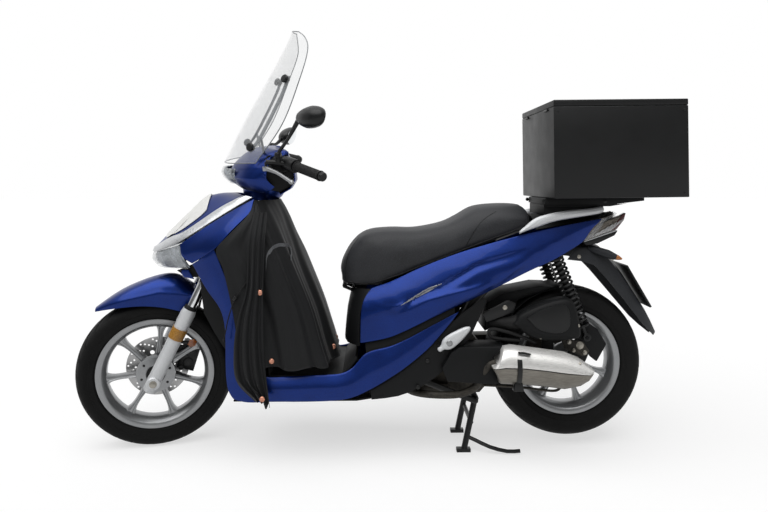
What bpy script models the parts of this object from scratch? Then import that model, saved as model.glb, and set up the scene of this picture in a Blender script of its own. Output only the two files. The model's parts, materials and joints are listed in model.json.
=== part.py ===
"""Moped scooter with a delivery box: frame, steering, swing unit, bodywork, seat and load box.

Lengths are metres. Before the origin is settled, X runs back from the front axle, Y to the
scooter's right and Z up from the ground. The handlebar stands turned to the left, as parked.
"""
import math

import bmesh
import bpy
import numpy as np

# Fits
GAP = 0.0004
PANEL_GAP = 0.0006
WALL = 0.004
CLOTH = 0.003
MIRROR_GAP = 0.0008
BOSS_R = 0.006
BOSS_REACH = 0.012
BOSS_LAP = 0.0015

# Chassis
WHEELBASE = 1.507
CASTER = math.radians(26.5)
YOKE_OFFSET = 0.040
STEER_REST = math.radians(14.0)
REAR_LIFT = 0.031
RAIL_Y = 0.130
RAIL_R = 0.016
HEAD_R = 0.030
HEAD_LOW = 0.490
HEAD_HIGH = 0.680
STEM_R = 0.0145
STEM_TOP = 0.790
SWING_X = 1.000
SWING_Z = 0.360
PIVOT_R = 0.010

# Wheels
FRONT_R = 0.2745
FRONT_HALF = 0.056
FRONT_SEAT_R = 0.1905
FRONT_SEAT_HALF = 0.036
REAR_R = 0.276
REAR_HALF = 0.066
REAR_SEAT_R = 0.178
REAR_SEAT_HALF = 0.045
TREAD_DROP = 0.04
TREAD_REACH = 0.45
FLANGE = 0.014
FLANGE_T = 0.004
HUB_R = 0.042
HUB_HALF = 0.040
SPOKES = 7
AXLE_R = 0.010
WHEEL_SIDES = 28
DISC_R = 0.112
DISC_T = 0.005

# Fork
FORK_HALF = 0.105
STANCHION_R = 0.0165
STANCHION_LOW = 0.100
SLIDER_R = 0.025
SLIDER_LOW = -0.036
SLIDER_TOP = 0.285
SLIDER_FLOOR = 0.050
YOKE_LOW = 0.455
YOKE_HIGH = 0.482

# Handlebar
BAR_R = 0.011
GRIP_R = 0.0165
GRIP_FROM = 0.082
GRIP_TO = 0.212
GRIP_SIDES = 20
SWITCH_R = 0.024
SWITCH_FROM = 0.020
SWITCH_TO = 0.078
LEVER_R = 0.006
LEVER_PIN_R = 0.004
STRAP_R = 0.004
MIRROR_TOE = math.radians(20.0)
MIRROR_POST_R = 0.011
MIRROR_POST_TOP = 1.072
MIRROR_STEM_R = 0.006

# Rear suspension
SHOCK_Y = 0.113
SHOCK_TOP_AHEAD = 0.072
SHOCK_TOP_Z = 0.722
SHOCK_LOW_BEHIND = 0.049
SHOCK_LOW_Z = 0.412
SHOCK_PIN_R = 0.006
EYE_R = 0.014
EYE_HALF = 0.008
DAMPER_R = 0.013
ROD_R = 0.007
COLLAR_R = 0.027
COLLAR_T = 0.007
COIL_R = 0.0225
WIRE_R = 0.0042
COIL_TURNS = 14
COIL_POINTS = 8
SHOCK_PLAY = 0.0008

# Load box, rack and seat
BOX_X = 1.409
BOX_Z = 0.908
BOX_LENGTH = 0.460
BOX_WIDTH = 0.460
BOX_HEIGHT = 0.335
BOX_WALL = 0.006
LID_HEIGHT = 0.022
BOX_PITCH = math.radians(0.7)
RACK_Z = 0.884
RAIL_TOP = 0.878
SEAT_HINGE_X = 0.692
SEAT_HINGE_Z = 0.585
SEAT_HINGE_R = 0.009
SEAT_PIN_R = 0.004
HINGE_LUG = 0.030
SEAT_PAN_X = 0.813
SEAT_PAN_Z = 0.597
SEAT_PAN_SLOPE = 0.375

# Stand and pegs
STAND_X = 1.160
STAND_Z = 0.188
STAND_PIN_R = 0.009
STAND_LEG_Y = 0.090
STAND_PIN_HALF = 0.116
STAND_LEG_R = 0.011
STAND_FOOT_X = 1.122
PEG_X = 1.026
PEG_Y = 0.206
PEG_Z = 0.398
PEG_PIN_R = 0.003

# Worked out from the sizes above
STEER_LEAN = math.asin(math.sin(CASTER) * math.sin(STEER_REST))
FRONT_LOW = (FRONT_R - TREAD_DROP * FRONT_HALF) * math.cos(STEER_LEAN)
FRONT_LOW += TREAD_REACH * FRONT_HALF * math.sin(STEER_LEAN)
FRONT_AXLE_Z = FRONT_LOW + YOKE_OFFSET * math.sin(CASTER) * (1 - math.cos(STEER_REST))
AXIS = np.array([math.sin(CASTER), 0.0, math.cos(CASTER)])
AHEAD = np.array([-math.cos(CASTER), 0.0, math.sin(CASTER)])
SIDE = np.array([0.0, 1.0, 0.0])
FRONT_AXLE = np.array([0.0, 0.0, FRONT_AXLE_Z])
STEER_FOOT = FRONT_AXLE - AHEAD * YOKE_OFFSET
REAR_AXLE = np.array([WHEELBASE, 0.0, REAR_R + REAR_LIFT])
SHOCK_TOP_X = WHEELBASE - SHOCK_TOP_AHEAD
SHOCK_LOW_X = WHEELBASE + SHOCK_LOW_BEHIND
SHOCK_TOP = np.array([SHOCK_TOP_X, 0.0, SHOCK_TOP_Z])
SHOCK_LOW = np.array([SHOCK_LOW_X, 0.0, SHOCK_LOW_Z])
SHOCK_LENGTH = float(np.linalg.norm(SHOCK_LOW - SHOCK_TOP))
SHOCK_DOWN = (SHOCK_LOW - SHOCK_TOP) / SHOCK_LENGTH

FINISHES = {
    "blue_paint": ((0.010, 0.028, 0.180), 0.30, 0.35),
    "black_plastic": ((0.014, 0.014, 0.016), 0.55, 0.0),
    "black_rubber": ((0.012, 0.012, 0.012), 0.80, 0.0),
    "black_cloth": ((0.012, 0.012, 0.013), 0.90, 0.0),
    "seat_vinyl": ((0.016, 0.016, 0.017), 0.70, 0.0),
    "silver_paint": ((0.560, 0.560, 0.550), 0.35, 0.80),
    "steel": ((0.500, 0.500, 0.500), 0.30, 1.0),
    "cast_metal": ((0.200, 0.190, 0.180), 0.55, 0.80),
    "clear_lens": ((0.700, 0.720, 0.740), 0.10, 0.0),
    "red_lens": ((0.350, 0.010, 0.015), 0.15, 0.0),
    "bright_trim": ((0.750, 0.750, 0.750), 0.20, 0.90),
}

bodies = {}
surfaces = {}


def clear_scene():
    for thing in list(bpy.data.objects):
        bpy.data.objects.remove(thing, do_unlink=True)


def finish_material(name):
    """A plain Principled material for one finish."""
    found = bpy.data.materials.get(name)
    if found:
        return found
    colour, roughness, metallic = FINISHES[name]
    made = bpy.data.materials.new(name)
    made.use_nodes = True
    shader = made.node_tree.nodes["Principled BSDF"]
    shader.inputs["Base Color"].default_value = (*colour, 1.0)
    shader.inputs["Roughness"].default_value = roughness
    shader.inputs["Metallic"].default_value = metallic
    return made


def add_body(name, parent, pivot):
    """An empty on a moving body's axis; its pieces are modelled about it."""
    empty = bpy.data.objects.new(name + "_axis", None)
    bpy.context.scene.collection.objects.link(empty)
    pivot = np.array(pivot, float)
    if parent:
        above, above_pivot = bodies[parent]
        empty.parent = above
        empty.location = pivot - above_pivot
    bodies[name] = (empty, pivot)
    return empty


def mesh_of(shape):
    """A mesh of one shape, its faces turned out."""
    points, faces = shape
    mesh = bpy.data.meshes.new("shape")
    mesh.from_pydata([tuple(map(float, p)) for p in points], [], faces)
    made = bmesh.new()
    made.from_mesh(mesh)
    bmesh.ops.recalc_face_normals(made, faces=made.faces)
    made.to_mesh(mesh)
    made.free()
    return mesh


def place(name, mesh, finish, body):
    """Name a finished mesh as a node of a body."""
    empty, pivot = bodies[body]
    for vertex in mesh.vertices:
        vertex.co = np.array(vertex.co) - pivot
    mesh.name = name
    mesh.materials.clear()
    mesh.materials.append(finish_material(finish))
    mesh.shade_smooth()
    mesh.set_sharp_from_angle(angle=math.radians(35))
    thing = bpy.data.objects.new(name, mesh)
    bpy.context.scene.collection.objects.link(thing)
    thing.parent = empty
    return thing


def solid(name, shape, finish, body):
    return place(name, mesh_of(shape), finish, body)


def joined(name, adds, finish, body, cuts=()):
    """One solid from several shapes: the first, plus the rest, less the cutters."""
    linked = bpy.context.scene.collection.objects
    base = bpy.data.objects.new("base", mesh_of(adds[0]))
    linked.link(base)
    tools = []
    for operation, shapes in (("UNION", adds[1:]), ("DIFFERENCE", cuts)):
        for shape in shapes:
            tool = bpy.data.objects.new("tool", mesh_of(shape))
            linked.link(tool)
            tools.append(tool)
            step = base.modifiers.new("join", "BOOLEAN")
            step.operation = operation
            step.solver = "EXACT"
            step.object = tool
    seen = base.evaluated_get(bpy.context.evaluated_depsgraph_get())
    mesh = bpy.data.meshes.new_from_object(seen)
    for thing in [base] + tools:
        bpy.data.objects.remove(thing, do_unlink=True)
    made = bmesh.new()
    made.from_mesh(mesh)
    bmesh.ops.remove_doubles(made, verts=made.verts, dist=0.00002)
    bmesh.ops.dissolve_degenerate(made, edges=made.edges, dist=0.00001)
    made.to_mesh(mesh)
    made.free()
    return place(name, mesh, finish, body)


def smooth(points, count):
    """A Catmull-Rom curve through the points, read at even steps."""
    points = np.array(points, float)
    if len(points) == 2:
        share = np.linspace(0, 1, count)[:, None]
        return points[0] + (points[1] - points[0]) * share
    ends = np.vstack([2 * points[0] - points[1], points, 2 * points[-1] - points[-2]])
    read = []
    for place_along in np.linspace(0, len(points) - 1, count):
        k = min(int(place_along), len(points) - 2)
        t = place_along - k
        a, b, c, d = ends[k:k + 4]
        curve = 2 * b + (c - a) * t + (2 * a - 5 * b + 4 * c - d) * t * t
        read.append((curve + (3 * b - a - 3 * c + d) * t ** 3) / 2)
    return np.array(read)


def skin(rows, along, across):
    """A grid of points on the smooth surface through the rows."""
    lines = np.array([smooth(row, across) for row in rows])
    return np.array([smooth(lines[:, k], along) for k in range(across)]).swapaxes(0, 1)


def grid_normals(grid, inside):
    """Unit normals at the grid's points, away from the inside point."""
    du = np.gradient(grid, axis=0)
    dv = np.gradient(grid, axis=1)
    normals = np.cross(du, dv)
    normals /= np.linalg.norm(normals, axis=2, keepdims=True)
    if np.sum(normals * (grid - np.array(inside))) < 0:
        normals = -normals
    return normals


def walled(grid, normals, wall):
    """A closed solid: the grid and its copy one wall further in, with their rims."""
    u, v = grid.shape[:2]
    points = np.vstack([grid.reshape(-1, 3), (grid - normals * wall).reshape(-1, 3)])
    half = u * v
    faces = []
    for i in range(u - 1):
        for j in range(v - 1):
            a = i * v + j
            faces.append((a, a + 1, a + v + 1, a + v))
            faces.append((a + half, a + v + half, a + v + 1 + half, a + 1 + half))
    rim = [j for j in range(v)] + [i * v + v - 1 for i in range(1, u)]
    rim += [(u - 1) * v + j for j in range(v - 2, -1, -1)] + [i * v for i in range(u - 2, 0, -1)]
    for a, b in zip(rim, rim[1:] + rim[:1]):
        faces.append((b, a, a + half, b + half))
    return points, faces


def panel_shape(name, rows, along, across, inside, wall=WALL):
    """A moulded panel's shape through the rows; its surface is kept for what seats on it."""
    grid = skin(rows, along, across)
    normals = grid_normals(grid, inside)
    surfaces[name] = (grid, normals, wall)
    return walled(grid, normals, wall)


def panel(name, rows, along, across, finish, body, inside, wall=WALL):
    """A panel that is a node of its own."""
    return solid(name, panel_shape(name, rows, along, across, inside, wall), finish, body)


def flipped(rows):
    """The same rows on the scooter's right side."""
    return [[(x, -y, z) for x, y, z in row] for row in rows]


def both_ways(row):
    """A row from the left edge to the middle, carried on to the right edge."""
    return row + [(x, -y, z) for x, y, z in row[-2::-1]]


def pair(name, rows, along, across, finish, body, inside, wall=WALL):
    """A left panel and its right twin."""
    x, y, z = inside
    panel(name + "_left", rows, along, across, finish, body, inside, wall)
    panel(name + "_right", flipped(rows), along, across, finish, body, (x, -y, z), wall)


def spot(name, u, v, off):
    """A point at a share of a panel's grid, off its outer face."""
    grid, normals, _ = surfaces[name]
    i = round(u * (grid.shape[0] - 1))
    j = round(v * (grid.shape[1] - 1))
    return grid[i, j] + normals[i, j] * off


def seat_on(name, u, v, outside):
    """The middle of one of a panel's faces, and the way straight off it."""
    grid, normals, wall = surfaces[name]
    i = min(int(u * (grid.shape[0] - 1)), grid.shape[0] - 2)
    j = min(int(v * (grid.shape[1] - 1)), grid.shape[1] - 2)
    corners = grid[i:i + 2, j:j + 2]
    ways = normals[i:i + 2, j:j + 2]
    if not outside:
        corners = corners - ways * wall
    off = np.cross(corners[1, 1] - corners[0, 0], corners[1, 0] - corners[0, 1])
    off /= np.linalg.norm(off)
    if (off @ ways.sum(axis=(0, 1)) > 0) != outside:
        off = -off
    return corners.mean(axis=(0, 1)), off


def boss(name, u, v, root, radius=BOSS_R, outside=False):
    """A stub square to a panel, one gap off it, and the arm from the stub to its root."""
    face, off = seat_on(name, u, v, outside)
    stub = rod(face + off * PANEL_GAP, face + off * BOSS_REACH, radius, sides=6)
    return [stub, rod(face + off * (BOSS_REACH - BOSS_LAP), root, radius, sides=6)]


def turned(profile, centre, sides=WHEEL_SIDES):
    """A closed profile of (radius, y) turned about the axle line."""
    points = []
    faces = []
    n = len(profile)
    for k in range(sides):
        angle = 2 * math.pi * k / sides
        for radius, y in profile:
            out = np.array([radius * math.cos(angle), y, radius * math.sin(angle)])
            points.append(centre + out)
    for k in range(sides):
        for i in range(n):
            a = k * n + i
            b = k * n + (i + 1) % n
            c = ((k + 1) % sides) * n
            faces.append((a, b, c + (i + 1) % n, c + i))
    return points, faces


def across_frame(direction):
    """Two unit directions square to the given one."""
    direction = direction / np.linalg.norm(direction)
    first = np.cross(direction, SIDE)
    if np.linalg.norm(first) < 0.2:
        first = np.cross(direction, np.array([0.0, 0.0, 1.0]))
    first /= np.linalg.norm(first)
    return first, np.cross(direction, first)


def rings(loops):
    """A closed solid through loops of points, with flat ends."""
    n = len(loops[0])
    points = [p for loop in loops for p in loop]
    faces = [tuple(range(n)), tuple(range(len(points) - 1, len(points) - n - 1, -1))]
    for k in range(len(loops) - 1):
        for i in range(n):
            a = k * n + i
            b = k * n + (i + 1) % n
            faces.append((a, b, b + n, a + n))
    return points, faces


def round_loop(centre, first, second, radius_a, radius_b, sides):
    angles = 2 * math.pi * np.arange(sides) / sides
    return [centre + first * radius_a * math.cos(a) + second * radius_b * math.sin(a) for a in angles]


def bored(radius, sides=10):
    """A bore's corner radius that leaves the gap all round a turning pin."""
    return (radius + GAP) / math.cos(math.pi / sides)


def rod(start, end, radius, end_radius=None, sides=10):
    start = np.array(start, float)
    end = np.array(end, float)
    first, second = across_frame(end - start)
    end_radius = radius if end_radius is None else end_radius
    return rings([
        round_loop(start, first, second, radius, radius, sides),
        round_loop(end, first, second, end_radius, end_radius, sides),
    ])


def tube(points, radius, count, sides=10):
    """A round bar along a smooth path."""
    path = smooth(points, count)
    ways = np.gradient(path, axis=0)
    first, second = across_frame(ways[0])
    loops = []
    for centre, way in zip(path, ways):
        way = way / np.linalg.norm(way)
        first = first - way * (first @ way)
        first /= np.linalg.norm(first)
        second = np.cross(way, first)
        loops.append(round_loop(centre, first, second, radius, radius, sides))
    return rings(loops)


def prism(outline, y_from, y_to):
    """An outline of (x, z) pushed through along Y."""
    return rings([[np.array([x, y, z]) for x, z in outline] for y in (y_from, y_to)])


def block(low, high):
    (x0, y0, z0), (x1, y1, z1) = low, high
    return prism([(x0, z0), (x1, z0), (x1, z1), (x0, z1)], y0, y1)


def slab(centre, ways, halves):
    """A block along three given directions."""
    a, b, c = [np.array(way) * half for way, half in zip(ways, halves)]
    base = [centre - a - b, centre + a - b, centre + a + b, centre - a + b]
    return rings([[p - c for p in base], [p + c for p in base]])


def fork_point(along, y=0.0):
    """A point on a fork leg's line, measured up from the axle."""
    return FRONT_AXLE + AXIS * along + SIDE * y


def stem_point(along):
    """A point on the steering axis."""
    return STEER_FOOT + AXIS * along


def tyre(name, outer, half, seat, seat_half, axle, body):
    """A hollow tyre whose beads sit between the rim's flanges."""
    side = 0.008
    tread = 0.012
    bead = seat_half - GAP
    low = seat + GAP
    lip = seat + FLANGE + 0.001
    outside = [(low, bead), (lip, bead), (lip + 0.018, half * 0.88), (outer - half * 0.62, half)]
    outside += [(outer - half * 0.22, half * 0.86), (outer - half * TREAD_DROP, half * TREAD_REACH)]
    inside = [(outer - tread, half * TREAD_REACH), (outer - half * 0.50, half - side), (low, bead - side)]
    top = [(outer, 0.0)]
    profile = outside + top + [(r, -y) for r, y in outside[::-1]]
    profile += [(r, -y) for r, y in inside[::-1]] + inside
    solid(name, turned(profile, axle), "black_rubber", body)


def wheel(name, seat, seat_half, axle, body):
    """A cast wheel: rim, hub and spokes."""
    outer = seat_half + FLANGE_T
    well = seat - 0.012
    barrel = [(seat + FLANGE, -outer), (seat + FLANGE, -seat_half), (seat, -seat_half)]
    barrel += [(well, -seat_half * 0.5), (well, seat_half * 0.5), (seat, seat_half)]
    barrel += [(seat + FLANGE, seat_half), (seat + FLANGE, outer), (seat - 0.006, outer)]
    barrel += [(well - 0.007, seat_half * 0.5), (well - 0.007, -seat_half * 0.5), (seat - 0.006, -outer)]
    bore = AXLE_R + GAP
    hub = [(bore, -HUB_HALF), (HUB_R, -HUB_HALF), (HUB_R, HUB_HALF), (bore, HUB_HALF)]
    adds = [turned(barrel, axle), turned(hub, axle)]
    for k in range(SPOKES):
        angle = math.radians(83) + 2 * math.pi * k / SPOKES
        out = np.array([math.cos(angle), 0.0, math.sin(angle)])
        turn = np.array([-math.sin(angle), 0.0, math.cos(angle)])
        loops = []
        for radius, width, depth in ((HUB_R - 0.006, 0.013, 0.022), (seat * 0.6, 0.008, 0.014),
                                     (well - 0.003, 0.013, 0.018)):
            centre = axle + out * radius
            loops.append([centre + turn * a * width + SIDE * b * depth
                          for a, b in ((-1, -1), (1, -1), (1, 1), (-1, 1))])
        adds.append(rings(loops))
    joined(name, adds, "silver_paint", body)


def make_front_wheel():
    tyre("front_tyre", FRONT_R, FRONT_HALF, FRONT_SEAT_R, FRONT_SEAT_HALF, FRONT_AXLE, "front_wheel")
    wheel("front_rim", FRONT_SEAT_R, FRONT_SEAT_HALF, FRONT_AXLE, "front_wheel")
    near = HUB_HALF + GAP
    ring = [(AXLE_R + GAP, near), (DISC_R, near), (DISC_R, near + DISC_T), (AXLE_R + GAP, near + DISC_T)]
    solid("front_brake_disc", turned(ring, FRONT_AXLE), "steel", "front_wheel")


def make_fork():
    """Stem, yoke and stanchions in one welded piece, with a slider on each leg.

    The axle is clamped in the left slider and counts as part of it.
    """
    adds = [rod(stem_point(YOKE_LOW), stem_point(STEM_TOP), STEM_R)]
    middle = STEER_FOOT + AXIS * (YOKE_LOW + YOKE_HIGH) / 2 + AHEAD * YOKE_OFFSET / 2
    yoke_half = (FORK_HALF + STANCHION_R + 0.008, YOKE_OFFSET / 2 + 0.026, (YOKE_HIGH - YOKE_LOW) / 2)
    adds.append(slab(middle, (SIDE, AHEAD, AXIS), yoke_half))
    for side in (-1, 1):
        y = side * FORK_HALF
        adds.append(rod(fork_point(STANCHION_LOW, y), fork_point(YOKE_HIGH + 0.006, y), STANCHION_R))
    joined("fork_yoke", adds, "steel", "steering")
    for side, word in ((-1, "left"), (1, "right")):
        y = side * FORK_HALF
        body = rod(fork_point(SLIDER_LOW, y), fork_point(SLIDER_TOP, y), SLIDER_R)
        foot = rod(FRONT_AXLE + SIDE * (y - 0.026), FRONT_AXLE + SIDE * (y + 0.026), 0.024)
        lug_root = fork_point(SLIDER_TOP - 0.016, y)
        lug = boss("front_fender", 0.78, 0.5 + side * 0.375, lug_root, outside=True)
        bore = rod(fork_point(SLIDER_FLOOR, y), fork_point(SLIDER_TOP + 0.02, y), STANCHION_R + GAP)
        hole = rod(FRONT_AXLE + SIDE * (y - 0.05), FRONT_AXLE + SIDE * (y + 0.05), AXLE_R + GAP)
        if side < 0:
            reach = FORK_HALF + 0.034
            axle = rod(FRONT_AXLE - SIDE * reach, FRONT_AXLE + SIDE * reach, AXLE_R)
            joined("fork_slider_left", [body, foot, axle] + lug, "silver_paint", "fork_lower", [bore])
        else:
            joined("fork_slider_right", [body, foot] + lug, "silver_paint", "fork_lower", [bore, hole])


CALIPER_AT = (0.112, 0.0, 0.033)
CALIPER_WAYS = ((0.3, 0.0, 0.95), (0.0, 1.0, 0.0), (0.95, 0.0, -0.3))
CALIPER_HALVES = (0.050, 0.024, 0.032)
PAD_ROOM = 0.005


def make_caliper():
    """Two-piston caliper on the far slider, straddling the disc."""
    centre = FRONT_AXLE + np.array(CALIPER_AT)
    disc_y = HUB_HALF + GAP + DISC_T / 2
    body = slab(centre + SIDE * (disc_y + 0.004), CALIPER_WAYS, CALIPER_HALVES)
    leg_r = SLIDER_R + GAP
    arm_to = fork_point(0.085, FORK_HALF) - (SIDE * 0.70 + AHEAD * 0.72) * leg_r
    arm = rod(centre + SIDE * (disc_y + 0.016), arm_to, 0.010)
    near, far = disc_y - PAD_ROOM, disc_y + PAD_ROOM
    brim = DISC_R + 0.004
    slot = turned([(0.02, near), (brim, near), (brim, far), (0.02, far)], FRONT_AXLE, 40)
    leg = rod(fork_point(SLIDER_LOW, FORK_HALF), fork_point(SLIDER_TOP, FORK_HALF), leg_r)
    joined("front_caliper", [body, arm], "black_plastic", "fork_lower", [slot, leg])


FENDER = (
    # x, crest height, half width, lower edge height
    (-0.200, 0.523, 0.020, 0.512),
    (-0.120, 0.577, 0.056, 0.531),
    (-0.030, 0.616, 0.070, 0.537),
    (0.050, 0.634, 0.074, 0.526),
    (0.098, 0.621, 0.074, 0.512),
    (0.140, 0.585, 0.072, 0.535),
)


def make_fender():
    rows = []
    for x, crest, half, low in FENDER:
        drop = crest - low
        left = [(x, -half, low), (x, -half * 0.94, low + drop * 0.5), (x, -half * 0.62, low + drop * 0.88)]
        rows.append(both_ways(left + [(x, 0.0, crest)]))
    panel("front_fender", rows, 10, 9, "blue_paint", "fork_lower", (0.0, 0.0, 0.40), 0.003)


def bar_point(along, side):
    """A point on the handlebar's straight outer stretch, out from its bend."""
    bend = np.array([0.445, side * 0.170, 1.055])
    tip = np.array([0.561, side * 0.360, 1.018])
    return bend + (tip - bend) / np.linalg.norm(tip - bend) * along


BAR_OUT = 0.2257
BAR_MIDDLE = (0.405, 0.0, 1.012)


def make_handlebar():
    path = [bar_point(BAR_OUT, -1), bar_point(0.0, -1), (0.420, -0.08, 1.030), BAR_MIDDLE]
    path += [(0.420, 0.08, 1.030), bar_point(0.0, 1), bar_point(BAR_OUT, 1)]
    ends = [rod(path[0], path[1], BAR_R), rod(path[-1], path[-2], BAR_R)]
    centre = tube(path[1:-1], BAR_R, 9, 10)
    socket = rod(stem_point(STEM_TOP + GAP), stem_point(STEM_TOP + 0.022), 0.018)
    neck = rod(stem_point(STEM_TOP + 0.018), BAR_MIDDLE, 0.014)
    adds = [centre] + ends + [socket, neck]
    adds += boss("handlebar_cover", 0.5, 0.75, (0.411, 0.003, 1.017))
    adds += boss("instrument_cover", 0.5, 0.5, (0.402, 0.002, 1.004))
    holes = []
    for side, word in ((-1, "left"), (1, "right")):
        bore = bored(BAR_R, GRIP_SIDES)
        bar = rod(bar_point(-0.01, side), bar_point(0.24, side), bore, sides=GRIP_SIDES)
        pivot = lever_point(0.0, side)
        foot = mirror_foot(side)
        adds.append(rod(bar_point(SWITCH_FROM, side), bar_point(SWITCH_TO, side), SWITCH_R))
        adds.append(rod(bar_point(0.045, side), pivot + LEVER_UP * 0.022, 0.009))
        adds.append(rod(pivot - LEVER_UP * 0.008, pivot + LEVER_UP * 0.022, LEVER_PIN_R))
        adds.append(rod(foot - np.array([0.0, 0.0, 0.022]), foot, MIRROR_POST_R))
        holes.append(button_shape(side, 0.0008, -0.011))
        joined("grip_" + word, [rod(bar_point(GRIP_FROM, side), bar_point(GRIP_TO, side), GRIP_R)],
               "black_rubber", "throttle" if side > 0 else "steering", [bar])
    joined("handlebar", adds, "steel", "steering", holes)


LEVER_UP = np.array([-0.10, 0.0, 0.995])


def lever_point(along, side):
    """A point on a brake lever, out from its pivot."""
    bends = [(0.388, side * 0.205, 1.033), (0.424, side * 0.258, 1.021), (0.462, side * 0.322, 0.998)]
    return smooth(bends, 21)[round(along * 20)]


def make_levers():
    for side, word in ((-1, "left"), (1, "right")):
        blade = tube([lever_point(s, side) for s in (0.0, 0.5, 1.0)], LEVER_R, 7, 8)
        pivot = lever_point(0.0, side)
        eye = rod(pivot - LEVER_UP * 0.0075, pivot + LEVER_UP * 0.0075, 0.011)
        pin = rod(pivot - LEVER_UP * 0.03, pivot + LEVER_UP * 0.03, bored(LEVER_PIN_R))
        joined("brake_lever_" + word, [blade, eye], "silver_paint", "lever_" + word, [pin])


def button_shape(side, grow, depth):
    """A round button on the rider's face of a switch box."""
    along = (SWITCH_FROM + SWITCH_TO) / 2 + 0.008
    way = np.array([0.80, 0.0, 0.60])
    base = bar_point(along, side) + way * (SWITCH_R + depth)
    return rod(base, bar_point(along, side) + way * (SWITCH_R + 0.005), 0.006 + grow, sides=12)


def make_buttons():
    solid("horn_button", button_shape(-1, 0.0, -0.0055), "black_rubber", "horn_button")
    solid("starter_button", button_shape(1, 0.0, -0.0055), "black_rubber", "starter_button")


COVER_SECTIONS = (
    # y, front x, top height, rear x
    (-0.160, 0.345, 1.090, 0.464),
    (-0.110, 0.297, 1.096, 0.467),
    (0.0, 0.264, 1.098, 0.470),
)
COVER_CHEEK = [(0.418, -0.174, 0.966), (0.394, -0.177, 0.988), (0.388, -0.177, 1.010),
               (0.394, -0.177, 1.040), (0.404, -0.176, 1.071)]
COVER_INSIDE = (0.42, 0.0, 1.0)
COVER_WALL = 0.003


def cover_arc(y, front, top, back):
    """One cross-section of the handlebar cover, from its front lip over the top to its rear edge."""
    lip = [(front + 0.045, y, 0.945), (front, y, 0.992)]
    return lip + [(front + 0.050, y, top - 0.036), (front + 0.118, y, top - 0.004), (back, y, top - 0.014)]


def across(rows):
    """Rows from the left side to the middle, carried on to the right side."""
    return rows + flipped(rows[-2::-1])


def make_handlebar_covers():
    """Painted cover with closed cheeks, the instrument housing behind it and the headlamp lens."""
    rows = across([COVER_CHEEK] + [cover_arc(*section) for section in COVER_SECTIONS])
    panel("handlebar_cover", rows, 11, 9, "blue_paint", "steering", COVER_INSIDE, COVER_WALL)
    behind = []
    for (y, _, top, back), lean in zip(COVER_SECTIONS, (0.0, 0.012, 0.018)):
        upper = [(back + 0.0034, y, top - 0.0155), (0.490 + lean, y, 1.010)]
        behind.append(upper + [(0.484 + lean, y, 0.965), (0.440, y, 0.936)])
    panel("instrument_cover", across(behind), 9, 5, "blue_paint", "steering", COVER_INSIDE, COVER_WALL)
    lens = []
    for y, step in ((-0.085, 0.034), (-0.045, 0.008), (0.0, 0.0)):
        lens.append([(0.2432 + step, y, 1.022), (0.2392 + step, y, 0.996), (0.2652 + step, y, 0.966)])
    panel("headlamp", across(lens), 9, 4, "clear_lens", "steering", COVER_INSIDE, COVER_WALL)


SCREEN = (
    # middle x and z, then edge x, half width and z, from the foot to the top
    (0.250, 1.040, 0.352, 0.185, 1.050),
    (0.325, 1.192, 0.440, 0.222, 1.185),
    (0.416, 1.356, 0.502, 0.212, 1.345),
    (0.470, 1.458, 0.532, 0.165, 1.440),
    (0.496, 1.516, 0.522, 0.070, 1.511),
)
STRAP_STEPS = ((0.47, -0.002), (0.40, -0.012), (0.18, -0.012), (0.10, -0.002))
STRAP_ARM = 0.18


def make_screen():
    rows = []
    for mx, mz, ex, half, ez in SCREEN:
        quarter = (mx + (ex - mx) * 0.30, -half * 0.55, mz + (ez - mz) * 0.30)
        rows.append(both_ways([(ex, -half, ez), quarter, (mx, 0.0, mz)]))
    adds = [panel_shape("windscreen", rows, 9, 9, (0.60, 0.0, 1.2))]
    for side in (-1, 1):
        v = 0.5 + side * 0.25
        path = [spot("windscreen", u, v, off) for u, off in STRAP_STEPS]
        adds.append(tube(path, STRAP_R, 7, 6))
        arm = spot("windscreen", STRAP_ARM, v, -0.010)
        adds += boss("handlebar_cover", 0.5 + side * 0.19, 0.62, arm, STRAP_R, True)
    joined("windscreen", adds, "clear_lens", "steering")


MIRROR_CENTRES = {-1: (0.520, -0.335, 1.210), 1: (0.511, 0.335, 1.120)}
MIRROR_SHELL = (
    # back from the glass, half width, half height
    (-0.034, 0.020, 0.012),
    (-0.024, 0.052, 0.026),
    (0.0, 0.074, 0.036),
    (0.016, 0.072, 0.034),
)


def mirror_foot(side):
    """The top of the post on the lever bracket that a mirror turns on."""
    middle = (bar_point(0.045, side) + lever_point(0.0, side)) / 2
    return np.array([middle[0], middle[1], MIRROR_POST_TOP])


def make_mirrors():
    """Mirrors toed in to the rider, each on a bent stem; the right one is set lower."""
    for side, word in ((-1, "left"), (1, "right")):
        toe = -side * MIRROR_TOE
        wide_way = np.array([-math.sin(toe), math.cos(toe), 0.0])
        back_way = np.array([math.cos(toe), math.sin(toe), 0.0])
        centre = np.array(MIRROR_CENTRES[side])
        up = np.array([0.2, 0.0, 0.98])
        loops = [round_loop(centre + back_way * back, wide_way, up, wide, tall, 14)
                 for back, wide, tall in MIRROR_SHELL]
        foot = mirror_foot(side) + np.array([0.0, 0.0, MIRROR_GAP])
        root = centre - wide_way * side * 0.055 - back_way * 0.012 - up * 0.014
        path = [foot, foot + np.array([0.004, side * 0.004, 0.018]), (foot + root) / 2, root]
        stem = tube(path, MIRROR_STEM_R, 9, 8)
        joined("mirror_" + word, [rings(loops), stem], "black_plastic", "mirror_" + word)


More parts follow.
